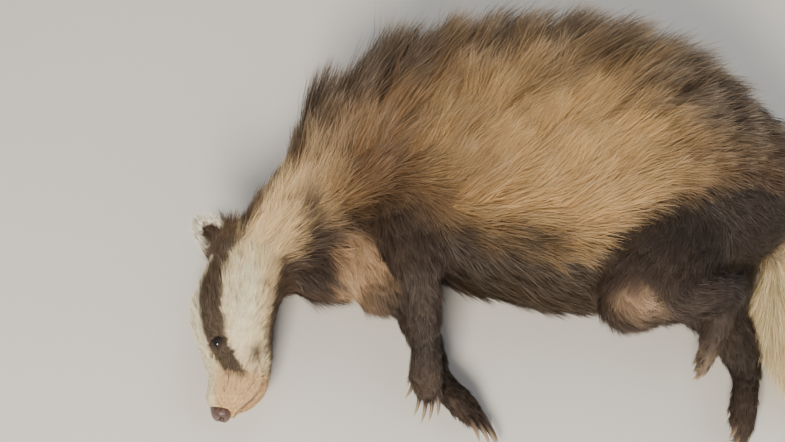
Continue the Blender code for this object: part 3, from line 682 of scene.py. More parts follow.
c = face_centres(skin.data)
wanted = np.zeros(len(c), bool)
for side in (1, -1):
    b, up, *_ = ear_axes(side)
    wanted |= np.linalg.norm(c - (b + up * 2.3), axis=1) < 2.1
refine(skin.data, wanted)
p = read_points(skin.data)
edges, count = neighbours(skin.data)
s, d, l = head_local(p)
head = (s < 14) & (p[:, 0] < -6.5) & (p[:, 1] < 0.5)
ear_zone = np.zeros(len(p))
for side in (1, -1):
    b, up, *_ = ear_axes(side)
    ear_zone = np.maximum(ear_zone, 1 - step(np.linalg.norm(p - (b + up * 2.3), axis=1), 1.8, 2.4))
p = relax(p, edges, count, 5, 0.5 * np.maximum(head & (s < 8), ear_zone))
normal = read_normals(skin.data)
s, d, l = head_local(p)
angle = np.degrees(np.arctan2(np.abs(l), d))
out = np.zeros(len(p))
out += 0.20 * bell(s, 1.3, 0.85) * step(s, 0.2, 0.7)                   # the muzzle stays broad up to the nose
out += 0.14 * bell(s, 5.9, 0.9) * bell(angle, 38, 14)                 # brow
out -= 0.12 * bell(s, 4.1, 0.8) * bell(angle, 72, 20)                 # hollow in front of the eye
out += 0.16 * bell(s, 2.1, 0.9) * bell(angle, 105, 22)                # whisker pad
out += 0.20 * bell(s, 8.6, 1.5) * bell(angle, 92, 22)                 # cheek bone
out -= 0.10 * bell(s, 10.8, 1.2) * bell(angle, 8, 22)                 # flat of the crown
out += 0.10 * bell(s, 4.4, 1.0) * bell(angle, 0, 16)                  # bridge of the nose
# the line of the mouth, and the narrower lower jaw below it
sd = np.stack([s, d], 1)
gap = np.full(len(p), 9.0)
below = np.zeros(len(p))
for a, b in zip(LIP[:-1], LIP[1:]):
    t = np.clip(((sd - a) @ (b - a)) / ((b - a) @ (b - a)), 0, 1)
    q = sd - (a + (b - a) * t[:, None])
    dist = np.hypot(q[:, 0], q[:, 1])
    closer = dist < gap
    gap = np.where(closer, dist, gap)
    below = np.where(closer, np.sign(q[:, 0] * (b - a)[1] - q[:, 1] * (b - a)[0]), below)
mouth = head & (s < 6.2) & (s > 0.2) & (d < -0.6)
out -= np.where(mouth, 0.20 * np.exp(-(gap / 0.11) ** 2) * step(5.5 - s, 0, 0.6), 0)
out -= np.where(mouth & (below > 0), 0.10 * step(gap, 0.0, 0.35) * step(5.5 - s, 0, 0.8), 0)
out += np.where(mouth & (below < 0), 0.06 * bell(gap, 0.22, 0.16), 0)
p = p + normal * np.where(head, out, 0)[:, None]
# the eyelids close on the ball, and open in an almond over it
LID = {}
for side in (1, -1):
    centre, outward, along, over = eye_frame(side)
    q = p - centre
    x, y, z = q @ along, q @ over, q @ outward
    flat = np.hypot(x, y)
    close = (flat < 1.25) & (z > -0.35)
    tilt = y - 0.10 * x
    upper, lower = 0.17 * (1 - (x / 0.43) ** 2), -0.15 * (1 - (x / 0.43) ** 2)
    inside = np.minimum(np.minimum(upper - tilt, tilt - lower), 0.43 - np.abs(x))
    shell = EYE_RADIUS + 0.055 + 0.05 * bell(inside, -0.09, 0.07)
    lid = np.sqrt(np.maximum(shell ** 2 - np.minimum(flat, 0.52) ** 2, 0.0)) - np.maximum(flat - 0.52, 0) * 0.30
    blend = 1 - step(flat, 0.50, 1.15)
    znew = z + (np.maximum(lid, z - 0.12 * blend) - z) * blend
    hole = step(inside, -0.015, 0.03)
    znew = znew * (1 - hole) + (np.sqrt(np.maximum((EYE_RADIUS - 0.09) ** 2 - flat ** 2, 0)) - 0.02) * hole
    p = p + outward * np.where(close, znew - z, 0)[:, None]
    LID[side] = inside
p[:, 2] = np.maximum(p[:, 2], 0.12)
write_points(skin.data, p)
skin.data.shade_smooth()
print("skin triangles", sum(len(f.vertices) - 2 for f in skin.data.polygons))


# ---------------------------------------------------------------- the coat's lie, length and markings, from the place on the body
CREAM, WHITE = np.array(rgb(249, 229, 186)), np.array(rgb(255, 244, 214))
STRIPE, THROAT = np.array(rgb(54, 41, 31)), np.array(rgb(64, 48, 39))
MUZZLE, TAN = np.array(rgb(224, 187, 136)), np.array(rgb(228, 192, 138))
FLANK, FLANK_EDGE = np.array(rgb(222, 181, 120)), np.array(rgb(126, 95, 64))
BACK, BELLY = np.array(rgb(95, 77, 60)), np.array(rgb(44, 35, 31))
LEG, LEG_LOW, KNEE = np.array(rgb(70, 55, 46)), np.array(rgb(50, 40, 35)), np.array(rgb(206, 172, 138))
CHEST, TAIL_TINT = np.array(rgb(222, 184, 142)), np.array(rgb(255, 230, 182))
PAD, LIP_SKIN, EYE_RIM = np.array(rgb(60, 47, 42)), np.array(rgb(98, 68, 58)), np.array(rgb(34, 24, 20))
EAR_DARK, EAR_WHITE = np.array(rgb(70, 54, 44)), np.array(rgb(250, 242, 222))

STRIPE_INNER = ((2.4, 84), (3.3, 68), (4.0, 51), (4.9, 42), (6.1, 36), (7.8, 31), (9.6, 28), (11.9, 32), (14.0, 34), (17.0, 34))
STRIPE_OUTER = ((2.8, 132), (3.5, 116), (4.2, 96), (5.1, 79), (6.1, 70), (7.8, 65), (10.4, 62), (12.0, 68), (14.0, 76), (17.0, 80))
CHEEK_EDGE = ((4.4, 165), (5.2, 146), (6.3, 134), (8.3, 124), (10.8, 120), (12.5, 128), (14.7, 140), (17.0, 142), (22.0, 138))
BELLY_EDGE = ((22, 138), (27, 143), (33, 148), (40, 150), (46, 150), (50, 134), (54, 114), (58, 100))
LIFT_TO_BACK = ((14, 6), (18, 14), (23, 26), (29, 42), (36, 50), (44, 46), (50, 29), (55, 13), (62, 2))


def lerp(a, b, w):
    w = np.asarray(w, float)[:, None] if np.ndim(b) == 2 or np.ndim(a) == 2 or np.ndim(w) == 1 else w
    return a * (1 - w) + b * w


def table_at(rows, s):
    rows = np.array(rows, float)
    return np.interp(s, rows[:, 0], rows[:, 1])


def wave(p, scale, seed, octaves=2):
    """Smooth noise between about -1 and 1, from sums of sines in turned directions."""
    rng = np.random.default_rng(seed)
    total, norm = np.zeros(len(p)), 0.0
    for o in range(octaves):
        for _ in range(5):
            k = unit(rng.normal(size=3)) * (2 * np.pi / scale) * 2 ** o * rng.uniform(0.7, 1.3)
            total += np.sin(p @ k + rng.uniform(0, 6.28)) * 0.6 ** o
            norm += 0.6 ** o * 0.5
    return total / norm ** 0.75 / 1.6


def on_trunk_side(s):
    return step(s, 20, 26)


def coat(p, n):
    """Everything about the coat at each point of the skin, with the outward directions n."""
    parts = body_parts(p)
    names = list(parts)
    weight = np.stack([np.exp(-np.clip(parts[k][3], 0, 12) / 0.55) for k in names], 1) + 1e-9
    # the limbs win over the trunk where both are close, and the paws over the legs
    for c, k in enumerate(names):
        weight[:, c] *= 1.0 if k in ("spine", "ruff") else (3.0 if k.endswith("paw") else 1.6)
    weight /= weight.sum(1, keepdims=True)
    count = len(p)
    tint, flow = np.zeros((count, 3)), np.zeros((count, 3))
    length, lift, width = np.zeros(count), np.zeros(count), np.zeros(count)
    density, grizzle, clump, spread = np.zeros(count), np.zeros(count), np.zeros(count), np.zeros(count)
    bare = np.zeros(count)
    uv = np.zeros((count, 2))
    main = weight.argmax(1)
    ripple, patchy = wave(p, 5.0, 3), wave(p, 2.2, 5)

    def blend(c, t, f, *values):
        w = weight[:, c]
        tint[:] += np.broadcast_to(t, (count, 3)) * w[:, None]
        flow[:] += f * w[:, None]
        for target, value in zip((length, lift, width, density, grizzle, clump, spread), values):
            target[:] += np.broadcast_to(value, count) * w

    # ------------------------------------------------ head, neck and trunk
    c = names.index("spine")
    i, s, angle, _ = parts["spine"]
    a = np.degrees(np.abs(angle))
    soft = 3.2 + 1.5 * patchy
    # markings of the head
    edge = 1.2 * wave(p, 0.9, 9)
    a_m = a + edge * 1.6
    inner, outer = table_at(STRIPE_INNER, s), table_at(STRIPE_OUTER, s)
    stripe = step(a_m, inner - 4, inner + 4) * (1 - step(a_m, outer - 4, outer + 5)) * step(s, 2.75, 3.5)
    cheek_end = table_at(CHEEK_EDGE, s)
    dark_under = step(a_m + 5 * patchy * step(s, 7, 11), cheek_end - 11, cheek_end + 11) * step(s, 2.2, 4.6)
    corner = np.clip(bell(s, 5.0, 0.80) * bell(a, 126, 11) * 1.15, 0, 1)
    head_tint = lerp(CREAM, WHITE, (1 - step(a, 34, 46)) * 0.9 + bell(a, 92, 20) * bell(s, 8.0, 3.2) * 0.7)
    head_tint = lerp(head_tint, MUZZLE, (1 - step(s, 2.9, 4.4)) * (0.06 + 0.90 * step(a, 46, 66)))
    head_tint = lerp(head_tint, TAN, step(s, 9.5, 17.5) * 0.75)
    head_tint = lerp(head_tint, TAN * 0.92, step(s, 5.0, 9.0) * step(a, cheek_end - 30, cheek_end - 4) * 0.6)
    head_tint = lerp(head_tint, THROAT, dark_under * 0.94)
    nape_dark = step(s, 14.5, 17.5) * (1 - step(a, 66, 92)) * (1 - step(s, 22, 28))
    stripe_tint = lerp(STRIPE, np.array(rgb(98, 78, 58)), np.clip(0.30 + 0.35 * ripple + 0.3 * step(s, 9, 15), 0, 1))
    head_tint = lerp(head_tint, stripe_tint, np.clip(stripe * (1 - step(s, 15.5, 19)) * 0.97, 0, 1))
    head_tint = lerp(head_tint, np.array(rgb(112, 90, 66)), nape_dark * 0.85)
    head_tint = lerp(head_tint, THROAT, np.clip(corner, 0, 1) * 0.85)
    # trunk
    under = np.where(angle < 0, 30.0, 0.0) * on_trunk_side(s)
    belly = step(a + under + 7 * ripple + 3 * patchy, table_at(BELLY_EDGE, s) - 9, table_at(BELLY_EDGE, s) + 9)
    back = 1 - step(a + 10 * ripple + 4 * patchy - 11 - 19 * step(s, 42, 51) - 5 * (1 - step(s, 28, 34)), 34, 80)
    flank = lerp(FLANK_EDGE, FLANK, np.clip(bell(s, 42.5, 10) * 1.15 + 0.22 * ripple + 0.10 * patchy, 0, 1))
    flank = lerp(flank, BACK, step(s, 49, 55) * (1 - step(a, 92, 122)) * 0.55)
    trunk_tint = lerp(lerp(flank, BACK, back * 0.85), BELLY, belly * 0.95)
    on_body = step(s, 18.5, 25.5)
    t_spine = lerp(head_tint, trunk_tint, on_body)
    ring = -np.sin(angle)[:, None] * SPINE.d[i] + np.cos(angle)[:, None] * SPINE.l[i]
    to_back = -ring * np.sign(angle)[:, None]
    turn = table_at(LIFT_TO_BACK, s) * step(a, 4, 46) * (1 - step(a, table_at(BELLY_EDGE, s) - 22, table_at(BELLY_EDGE, s) + 8))
    turn = np.where(angle < 0, turn * 0.35, turn) + 9 * ripple * on_body
    turn = turn - 16 * belly * on_body - 12 * (1 - step(s, 10, 15)) * step(a, 60, 100)
    turn = np.radians(turn)
    f_spine = SPINE.t[i] * np.cos(turn)[:, None] + to_back * np.sin(turn)[:, None]
    on_neck = step(s, 11.5, 17.0)
    face = 1 - step(s, 6.5, 11.0)
    cheek_long = bell(s, 11.5, 2.6) * bell(a, 105, 35)
    L = 0.34 + 0.26 * step(s, 2.0, 5.0) + 0.50 * step(s, 5.5, 10.0) + 0.8 * cheek_long + 0.30 * bell(s, 7.6, 3.0) * (1 - step(a, 24, 56))
    L = L * (1 - on_neck) + 2.5 * on_neck
    L = L * (1 - on_body) + (4.1 + 1.9 * back) * on_body
    L = L * (1 - 0.50 * step(s, 46, 57))
    L = L * (1 - belly * on_body * 0.48)
    up = 20.0 * face + 20 * (1 - face) * (1 - on_neck) + 20 * on_neck * (1 - on_body) + on_body * (22 + 17 * back * (1 - 0.9 * step(s, 45, 53)) + 3 * patchy - 6 * step(s, 47, 55))
    up = up - 5 * belly * on_body
    W = 0.022 + 0.004 * step(s, 3, 9) + 0.010 * on_neck + 0.006 * on_body
    D = 250 * face + 190 * (1 - face) * (1 - on_neck) + on_neck * (1 - on_body) * 105 + on_body * (72 + 16 * back - 8 * belly)
    D = D * np.where((angle < 0) & (a > 50) & (a < 140), 0.6, 1.0)
    G = on_body * (0.38 + 0.26 * back - 0.32 * belly) + nape_dark * 0.35 + 0.12 * on_neck * (1 - on_body)
    C = 0.35 + 0.15 * on_neck + 0.22 * on_body + 0.08 * back * on_body
    R = 0.07 + 0.05 * (1 - face) + 0.14 * on_neck + 0.16 * on_body
    blend(c, t_spine, f_spine, L, up, W, D, G, C, R)
    spine_uv = np.stack([0.02 + 0.60 * s / 64, 0.02 + 0.96 * (angle / (2 * np.pi) + 0.5)], 1)
    uv[:] = np.where((main == c)[:, None], spine_uv, uv)

    # ------------------------------------------------ tail
    c = names.index("tail")
    i, s_t, angle_t, _ = parts["tail"]
    tail_tint = lerp(TAIL_TINT * 0.80, TAIL_TINT, np.clip(step(s_t, 0, 5) + 0.2 * ripple, 0, 1))
    end_on = step((n * TAIL.t[i]).sum(1), 0.35, 0.95)
    blend(c, tail_tint, TAIL.t[i], 4.6 - 1.2 * step(s_t, 10, 17), 17 + 58 * end_on, 0.040, 170, 0.06, 0.55, 0.20)
    uv[:] = np.where((main == c)[:, None], np.stack([0.64 + 0.16 * s_t / 19, 0.02 + 0.28 * (angle_t / (2 * np.pi) + 0.5)], 1), uv)

    # ------------------------------------------------ loose fur of throat and breast
    c = names.index("ruff")
    i, s_r, angle_r, _ = parts["ruff"]
    ruff_tint = lerp(THROAT, np.array(rgb(120, 92, 70)), np.clip(0.20 + 0.5 * patchy + 0.3 * ripple, 0, 0.7))
    ruff_tint = lerp(ruff_tint, CHEST, step(p[:, 0] + 0.6 * ripple + 0.3 * patchy, -6.3, -4.7) * 0.8)
    blend(c, ruff_tint, unit(np.array((0.66, -0.70, -0.20))), 2.6, 20, 0.034, 110, 0.15, 0.50, 0.18)
    uv[:] = np.where((main == c)[:, None], np.stack([0.82 + 0.14 * s_r / 5, 0.02 + 0.28 * (angle_r / (2 * np.pi) + 0.5)], 1), uv)

    # ------------------------------------------------ legs and paws
    for k, (leg, part) in enumerate(LIMBS):
        axis = LIMBS[leg, part]
        c = names.index(axis.name)
        i, s_l, angle_l, _ = parts[axis.name]
        share = np.clip(s_l / axis.s[-1], 0, 1)
        low = part == "lower"
        if leg == "fore_right" and not low:
            leg_tint = lerp(CHEST, np.array(rgb(158, 122, 92)), np.clip(0.22 + 0.55 * patchy + 0.35 * ripple, 0, 0.9))
            leg_tint = lerp(leg_tint, LEG, np.maximum(step(share, 0.75, 1.0) * 0.7, 1 - step(share, 0.0, 0.30)))
        elif leg == "fore_left" and not low:
            leg_tint = lerp(np.array(rgb(118, 92, 70)), LEG, step(share, 0.1, 0.8))
        elif leg == "hind_left" and not low:
            leg_tint = lerp(BELLY * 1.1, LEG * 0.9, step(share, 0.2, 0.9))
        else:
            leg_tint = lerp(LEG, LEG_LOW, np.clip(share + 0.3 * ripple, 0, 1))
        leg_length = (2.1 - 0.6 * share) if not low else (1.5 - 0.40 * share)
        blend(c, leg_tint * (1 + 0.16 * patchy)[:, None], axis.t[i], leg_length, 21 if not low else 20, 0.034 if not low else 0.030,
              116 if not low else 140, 0.22, 0.45, 0.16 if not low else 0.11)
        uv[:] = np.where((main == c)[:, None], np.stack([0.64 + 0.08 * (k % 4) + 0.07 * share, 0.34 + 0.16 * (k // 4) + 0.14 * (angle_l / (2 * np.pi) + 0.5)], 1), uv)
    for k, leg in enumerate(PAWS):
        axis = PAW_AXES[leg]
        c = names.index(axis.name)
        i, s_p, angle_p, over = parts[axis.name]
        share = np.clip(s_p / axis.s[-1], 0, 1)
        paw_tint = lerp(LEG_LOW, np.array(rgb(88, 72, 60)), np.clip(share * 0.9 + 0.2 * patchy, 0, 1))
        if leg == "hind_left":
            paw_tint = lerp(paw_tint, np.array(rgb(168, 148, 122)), step(share, 0.6, 0.95) * 0.8)
        blend(c, paw_tint, axis.t[i], 0.75 + 0.30 * bell(share, 0.9, 0.2), 18, 0.026, 175, 0.12, 0.35, 0.09)
        start, end, along, wide, rear = paw_axes(PAWS[leg])
        spec = PAWS[leg]
        pads = [(start + along * np.linalg.norm(end - start) * 0.62 - rear * spec["thick"] * 0.66, spec["wide"] * 0.46, 0.36)]
        for toe in range(5):
            _, tip = toe_line(spec, toe)
            pads.append((tip - along * 0.25 - rear * (spec["toe"] - 0.13) * 0.7, 0.30, 0.42))
        pad = np.zeros(count)
        for centre, across, lengthwise in pads:
            q = p - centre
            pad = np.maximum(pad, np.exp(-((q @ wide / across) ** 2 + (q @ along / lengthwise) ** 2 + (q @ rear / 0.55) ** 2) ** 2))
        pad = step(pad, 0.25, 0.5) * step(-(n @ rear), 0.25, 0.55) * (parts[axis.name][3] < 0.8)
        bare[:] = np.maximum(bare, pad)
        tint[:] = lerp(tint, PAD, pad)
        uv[:] = np.where((main == c)[:, None], np.stack([0.64 + 0.08 * k + 0.07 * share, 0.68 + 0.14 * (angle_p / (2 * np.pi) + 0.5)], 1), uv)
    # the throat's own dark fur, painted darker still as shade in the fold between neck and chest
    band = bell(p[:, 0] + 0.12 * (p[:, 1] + 1.5) + 0.25 * patchy, -7.20, 1.15) * step(0.883 * p[:, 1] + 0.469 * p[:, 2], -1.5, 0.5)
    band = band * (1 - step(0.883 * p[:, 1] + 0.469 * p[:, 2], 4.4, 6.6)) * step(p[:, 2], 2.5, 5.0)
    tint[:] = lerp(tint, THROAT * 0.80, band * 0.94)
    knee = np.array((19.0, -8.9, 13.0))
    tint[:] = lerp(tint, KNEE, np.exp(-(np.linalg.norm((p - knee) * (0.8, 1.0, 0.6), axis=1) / 1.25) ** 2.5) * 0.88)

    # ------------------------------------------------ ears
    ear = np.zeros(count)
    for side in (1, -1):
        b, up_e, facing, across = ear_axes(side)
        q = p - b
        h, u, g = q @ up_e, q @ across, q @ facing
        half = (EAR_WIDTH - 0.25) / 2 * np.sqrt(np.clip(1 - (np.maximum(0, h / (EAR_HEIGHT + 0.70) - 0.50) / 0.51) ** 2, 0.02, 1))
        mine = step(h, 1.15, 1.75) * (1 - step(np.abs(u), half + 0.35, half + 0.6)) * (1 - step(np.abs(g), 1.0, 1.3)) * (1 - step(h, 4.4, 4.8))
        inside = step(n @ facing, 0.0, 0.35)
        rim = step(np.hypot(u / 1.42, np.maximum(h - 1.95, 0) / 1.95) + 0.08 * patchy, 0.44, 0.66) * step(h, 1.3, 2.0)
        shade = lerp(EAR_DARK, EAR_WHITE, np.clip(rim, 0, 1))
        tint[:] = lerp(tint, shade, mine)
        flow[:] = lerp(flow, unit(up_e * 1.0 + across * np.sign(u)[:, None] * 0.35), mine)
        for target, value in ((length, 0.45 + 0.32 * rim - 0.12 * inside), (lift, 24.0), (width, 0.030), (density, 300.0), (grizzle, 0.0), (clump, 0.3), (spread, 0.08)):
            target[:] = target * (1 - mine) + value * mine
        foot = bell(h, 0.9, 0.8) * (1 - step(np.abs(u), 1.7, 2.3)) * (1 - step(np.abs(g), 1.5, 2.1)) * (1 - mine)
        foot = foot * step(a_m if side > 0 else a, 26, 34)
        density[:] = density * (1 + 0.5 * foot)
        length[:] = length * (1 - foot) + np.maximum(length, 1.1) * foot
        ear = np.maximum(ear, mine)
        uv[:] = np.where((mine > 0.5)[:, None], np.stack([0.64 + 0.04 * u + (0.1 if side > 0 else 0.2), 0.88 + 0.02 * h], 1), uv)

    # ------------------------------------------------ bare rims: lips, lids and the edge of the nose
    s_h, d_h, l_h = head_local(p)
    at_head = (s_h < 7) & (p[:, 0] < -8.5) & (p[:, 1] < -6)
    sd = np.stack([s_h, d_h], 1)
    gap = np.full(count, 9.0)
    for u0, u1 in zip(LIP[:-1], LIP[1:]):
        t = np.clip(((sd - u0) @ (u1 - u0)) / ((u1 - u0) @ (u1 - u0)), 0, 1)
        gap = np.minimum(gap, np.linalg.norm(sd - (u0 + (u1 - u0) * t[:, None]), axis=1))
    lips = np.where(at_head & (d_h < -0.6), np.exp(-(gap / 0.085) ** 2) * (1 - step(s_h, 3.9, 4.6)), 0)
    tint[:] = lerp(tint, LIP_SKIN, lips * 0.9)
    bare[:] = np.maximum(bare, step(lips, 0.25, 0.5))
    for side in (1, -1):
        centre, outward, along, over_e = eye_frame(side)
        q = p - centre
        x, y, z = q @ along, q @ over_e, q @ outward
        near = np.exp(-(np.hypot(x, y * 1.25) / 0.60) ** 6) * (z > -0.4) * at_head
        tint[:] = lerp(tint, EYE_RIM, near)
        bare[:] = np.maximum(bare, near)
        ring = np.exp(-(np.hypot(x, y) / 1.25) ** 4) * (z > -0.7) * at_head
        away = unit(along * x[:, None] + over_e * y[:, None] - along * 0.12)
        flow[:] = unit(lerp(unit(flow), away, ring * 0.92))
        length[:] = length * (1 - 0.52 * ring)
        lift[:] = lift * (1 - 0.45 * ring)
    around = np.hypot((d_h - 0.12) / np.where(d_h > 0.12, 1.05, 0.62), l_h / 1.22)
    bare[:] = np.maximum(bare, (1 - step(s_h, 0.45, 0.8)) * (1 - step(around, 0.95, 1.12)) * at_head)
    flow[:] = flow - n * (flow * n).sum(1, keepdims=True)
    region = np.where(ear > 0.5, 3, np.where(main == names.index("tail"), 4, np.where(main == names.index("spine"), np.where(s < 13.5, 0, np.where(s < 22.5, 1, 2)), np.where(main == names.index("ruff"), 1, 5))))
    return dict(tint=tint, flow=unit(flow), length=length, lift=lift, width=width, density=density * (1 - bare), grizzle=np.clip(grizzle, 0, 1),
                clump=clump, spread=spread, bare=bare, uv=uv, region=region, s=s)


def paint(mesh, name, values, kind="FLOAT", domain="POINT"):
    attribute = mesh.attributes.new(name, kind, domain)
    if kind == "FLOAT_COLOR":
        values = np.column_stack([values, np.ones(len(values))])
        attribute.data.foreach_set("color", values.astype(np.float32).ravel())
    else:
        attribute.data.foreach_set("value", values.astype(np.float32).ravel())


p = read_points(skin.data)
normal = read_normals(skin.data)
look = coat(p, normal)
# the skin carries the coat's markings with painted shade: darker under longer fur as shade beneath the coat, full
# colour where bare
short = 1 - step(look["length"], 0.5, 1.6)
under = look["tint"] * (0.50 + 0.34 * short)[:, None]
under = lerp(under, look["tint"], look["bare"])
paint(skin.data, "tint", np.clip(under, 0.004, 1), "FLOAT_COLOR")
paint(skin.data, "bare", look["bare"])
paint(skin.data, "short", short)

# ---------------------------------------------------------------- the coat: tufts of tapering blades, rooted in the skin
mesh = skin.data
mesh.calc_loop_triangles()
tri = np.empty(len(mesh.loop_triangles) * 3, np.int32)
mesh.loop_triangles.foreach_get("vertices", tri)
tri = tri.reshape(-1, 3)
corner = p[tri]
area = np.linalg.norm(np.cross(corner[:, 1] - corner[:, 0], corner[:, 2] - corner[:, 0]), axis=1) / 2
BLADES = 7                                            # blades in a tuft
tufts_wanted = area * look["density"][tri].mean(1) / BLADES
total = int(tufts_wanted.sum())
chosen = RNG.choice(len(tri), total, p=tufts_wanted / tufts_wanted.sum())
r1, r2 = RNG.random(total), RNG.random(total)
r1, r2 = np.where(r1 + r2 > 1, 1 - r1, r1), np.where(r1 + r2 > 1, 1 - r2, r2)
bary = np.stack([1 - r1 - r2, r1, r2], 1)
root = (corner[chosen] * bary[:, :, None]).sum(1)
out_dir = unit((normal[tri[chosen]] * bary[:, :, None]).sum(1))
tuft = coat(root, out_dir)
surface = BVHTree.FromPolygons([tuple(v) for v in p], tri.tolist(), all_triangles=True)
rise = np.radians(tuft["lift"])
for share in (0.40, 0.75):
    reach = tuft["length"] * share
    ahead = root + (tuft["flow"] * np.cos(rise)[:, None] + out_dir * np.sin(rise)[:, None]) * reach[:, None]
    over = np.empty(total)
    for k in range(total):
        q = Vector(ahead[k])
        near, face_normal, _, _ = surface.find_nearest(q)
        over[k] = (q - near).dot(face_normal)
    rise = np.minimum(rise + np.arctan2(np.maximum(0.04 + 0.16 * reach - over, 0), reach), 1.2)
tuft["extra"] = np.degrees(rise) - tuft["lift"]
print("tufts", total, "area cm2", round(area.sum()), "lifted", round(float((tuft["extra"] > 5).mean()), 3))


# tufts gather in locks: each turns and leans as one, and its tips draw together
REACH = 0.12 + 0.36 * tuft["length"]
start_lock = RNG.random(total) < np.clip(BLADES / np.maximum(tuft["density"], 20) / REACH ** 2, 0, 1)
lock = np.arange(total)
for region in np.unique(tuft["region"]):
    here = np.nonzero(tuft["region"] == region)[0]
    heads = here[start_lock[here]]
    tree = KDTree(len(heads))
    for k, h in enumerate(heads):
        tree.insert(root[h] + out_dir[h] * 1.5, k)
    tree.balance()
    for k in here:
        lock[k] = heads[tree.find(root[k] + out_dir[k] * 1.5)[1]]
draw = root[lock] - root
draw -= out_dir * (draw * out_dir).sum(1, keepdims=True)
far = np.linalg.norm(draw, axis=1)
draw *= (np.clip(1.6 * REACH / np.maximum(far, 1e-6), 0, 1) * (far < 3.5 * REACH))[:, None]
LOCK_OWN = np.clip(RNG.normal(size=(total, 4)), -1.7, 1.7)[lock]


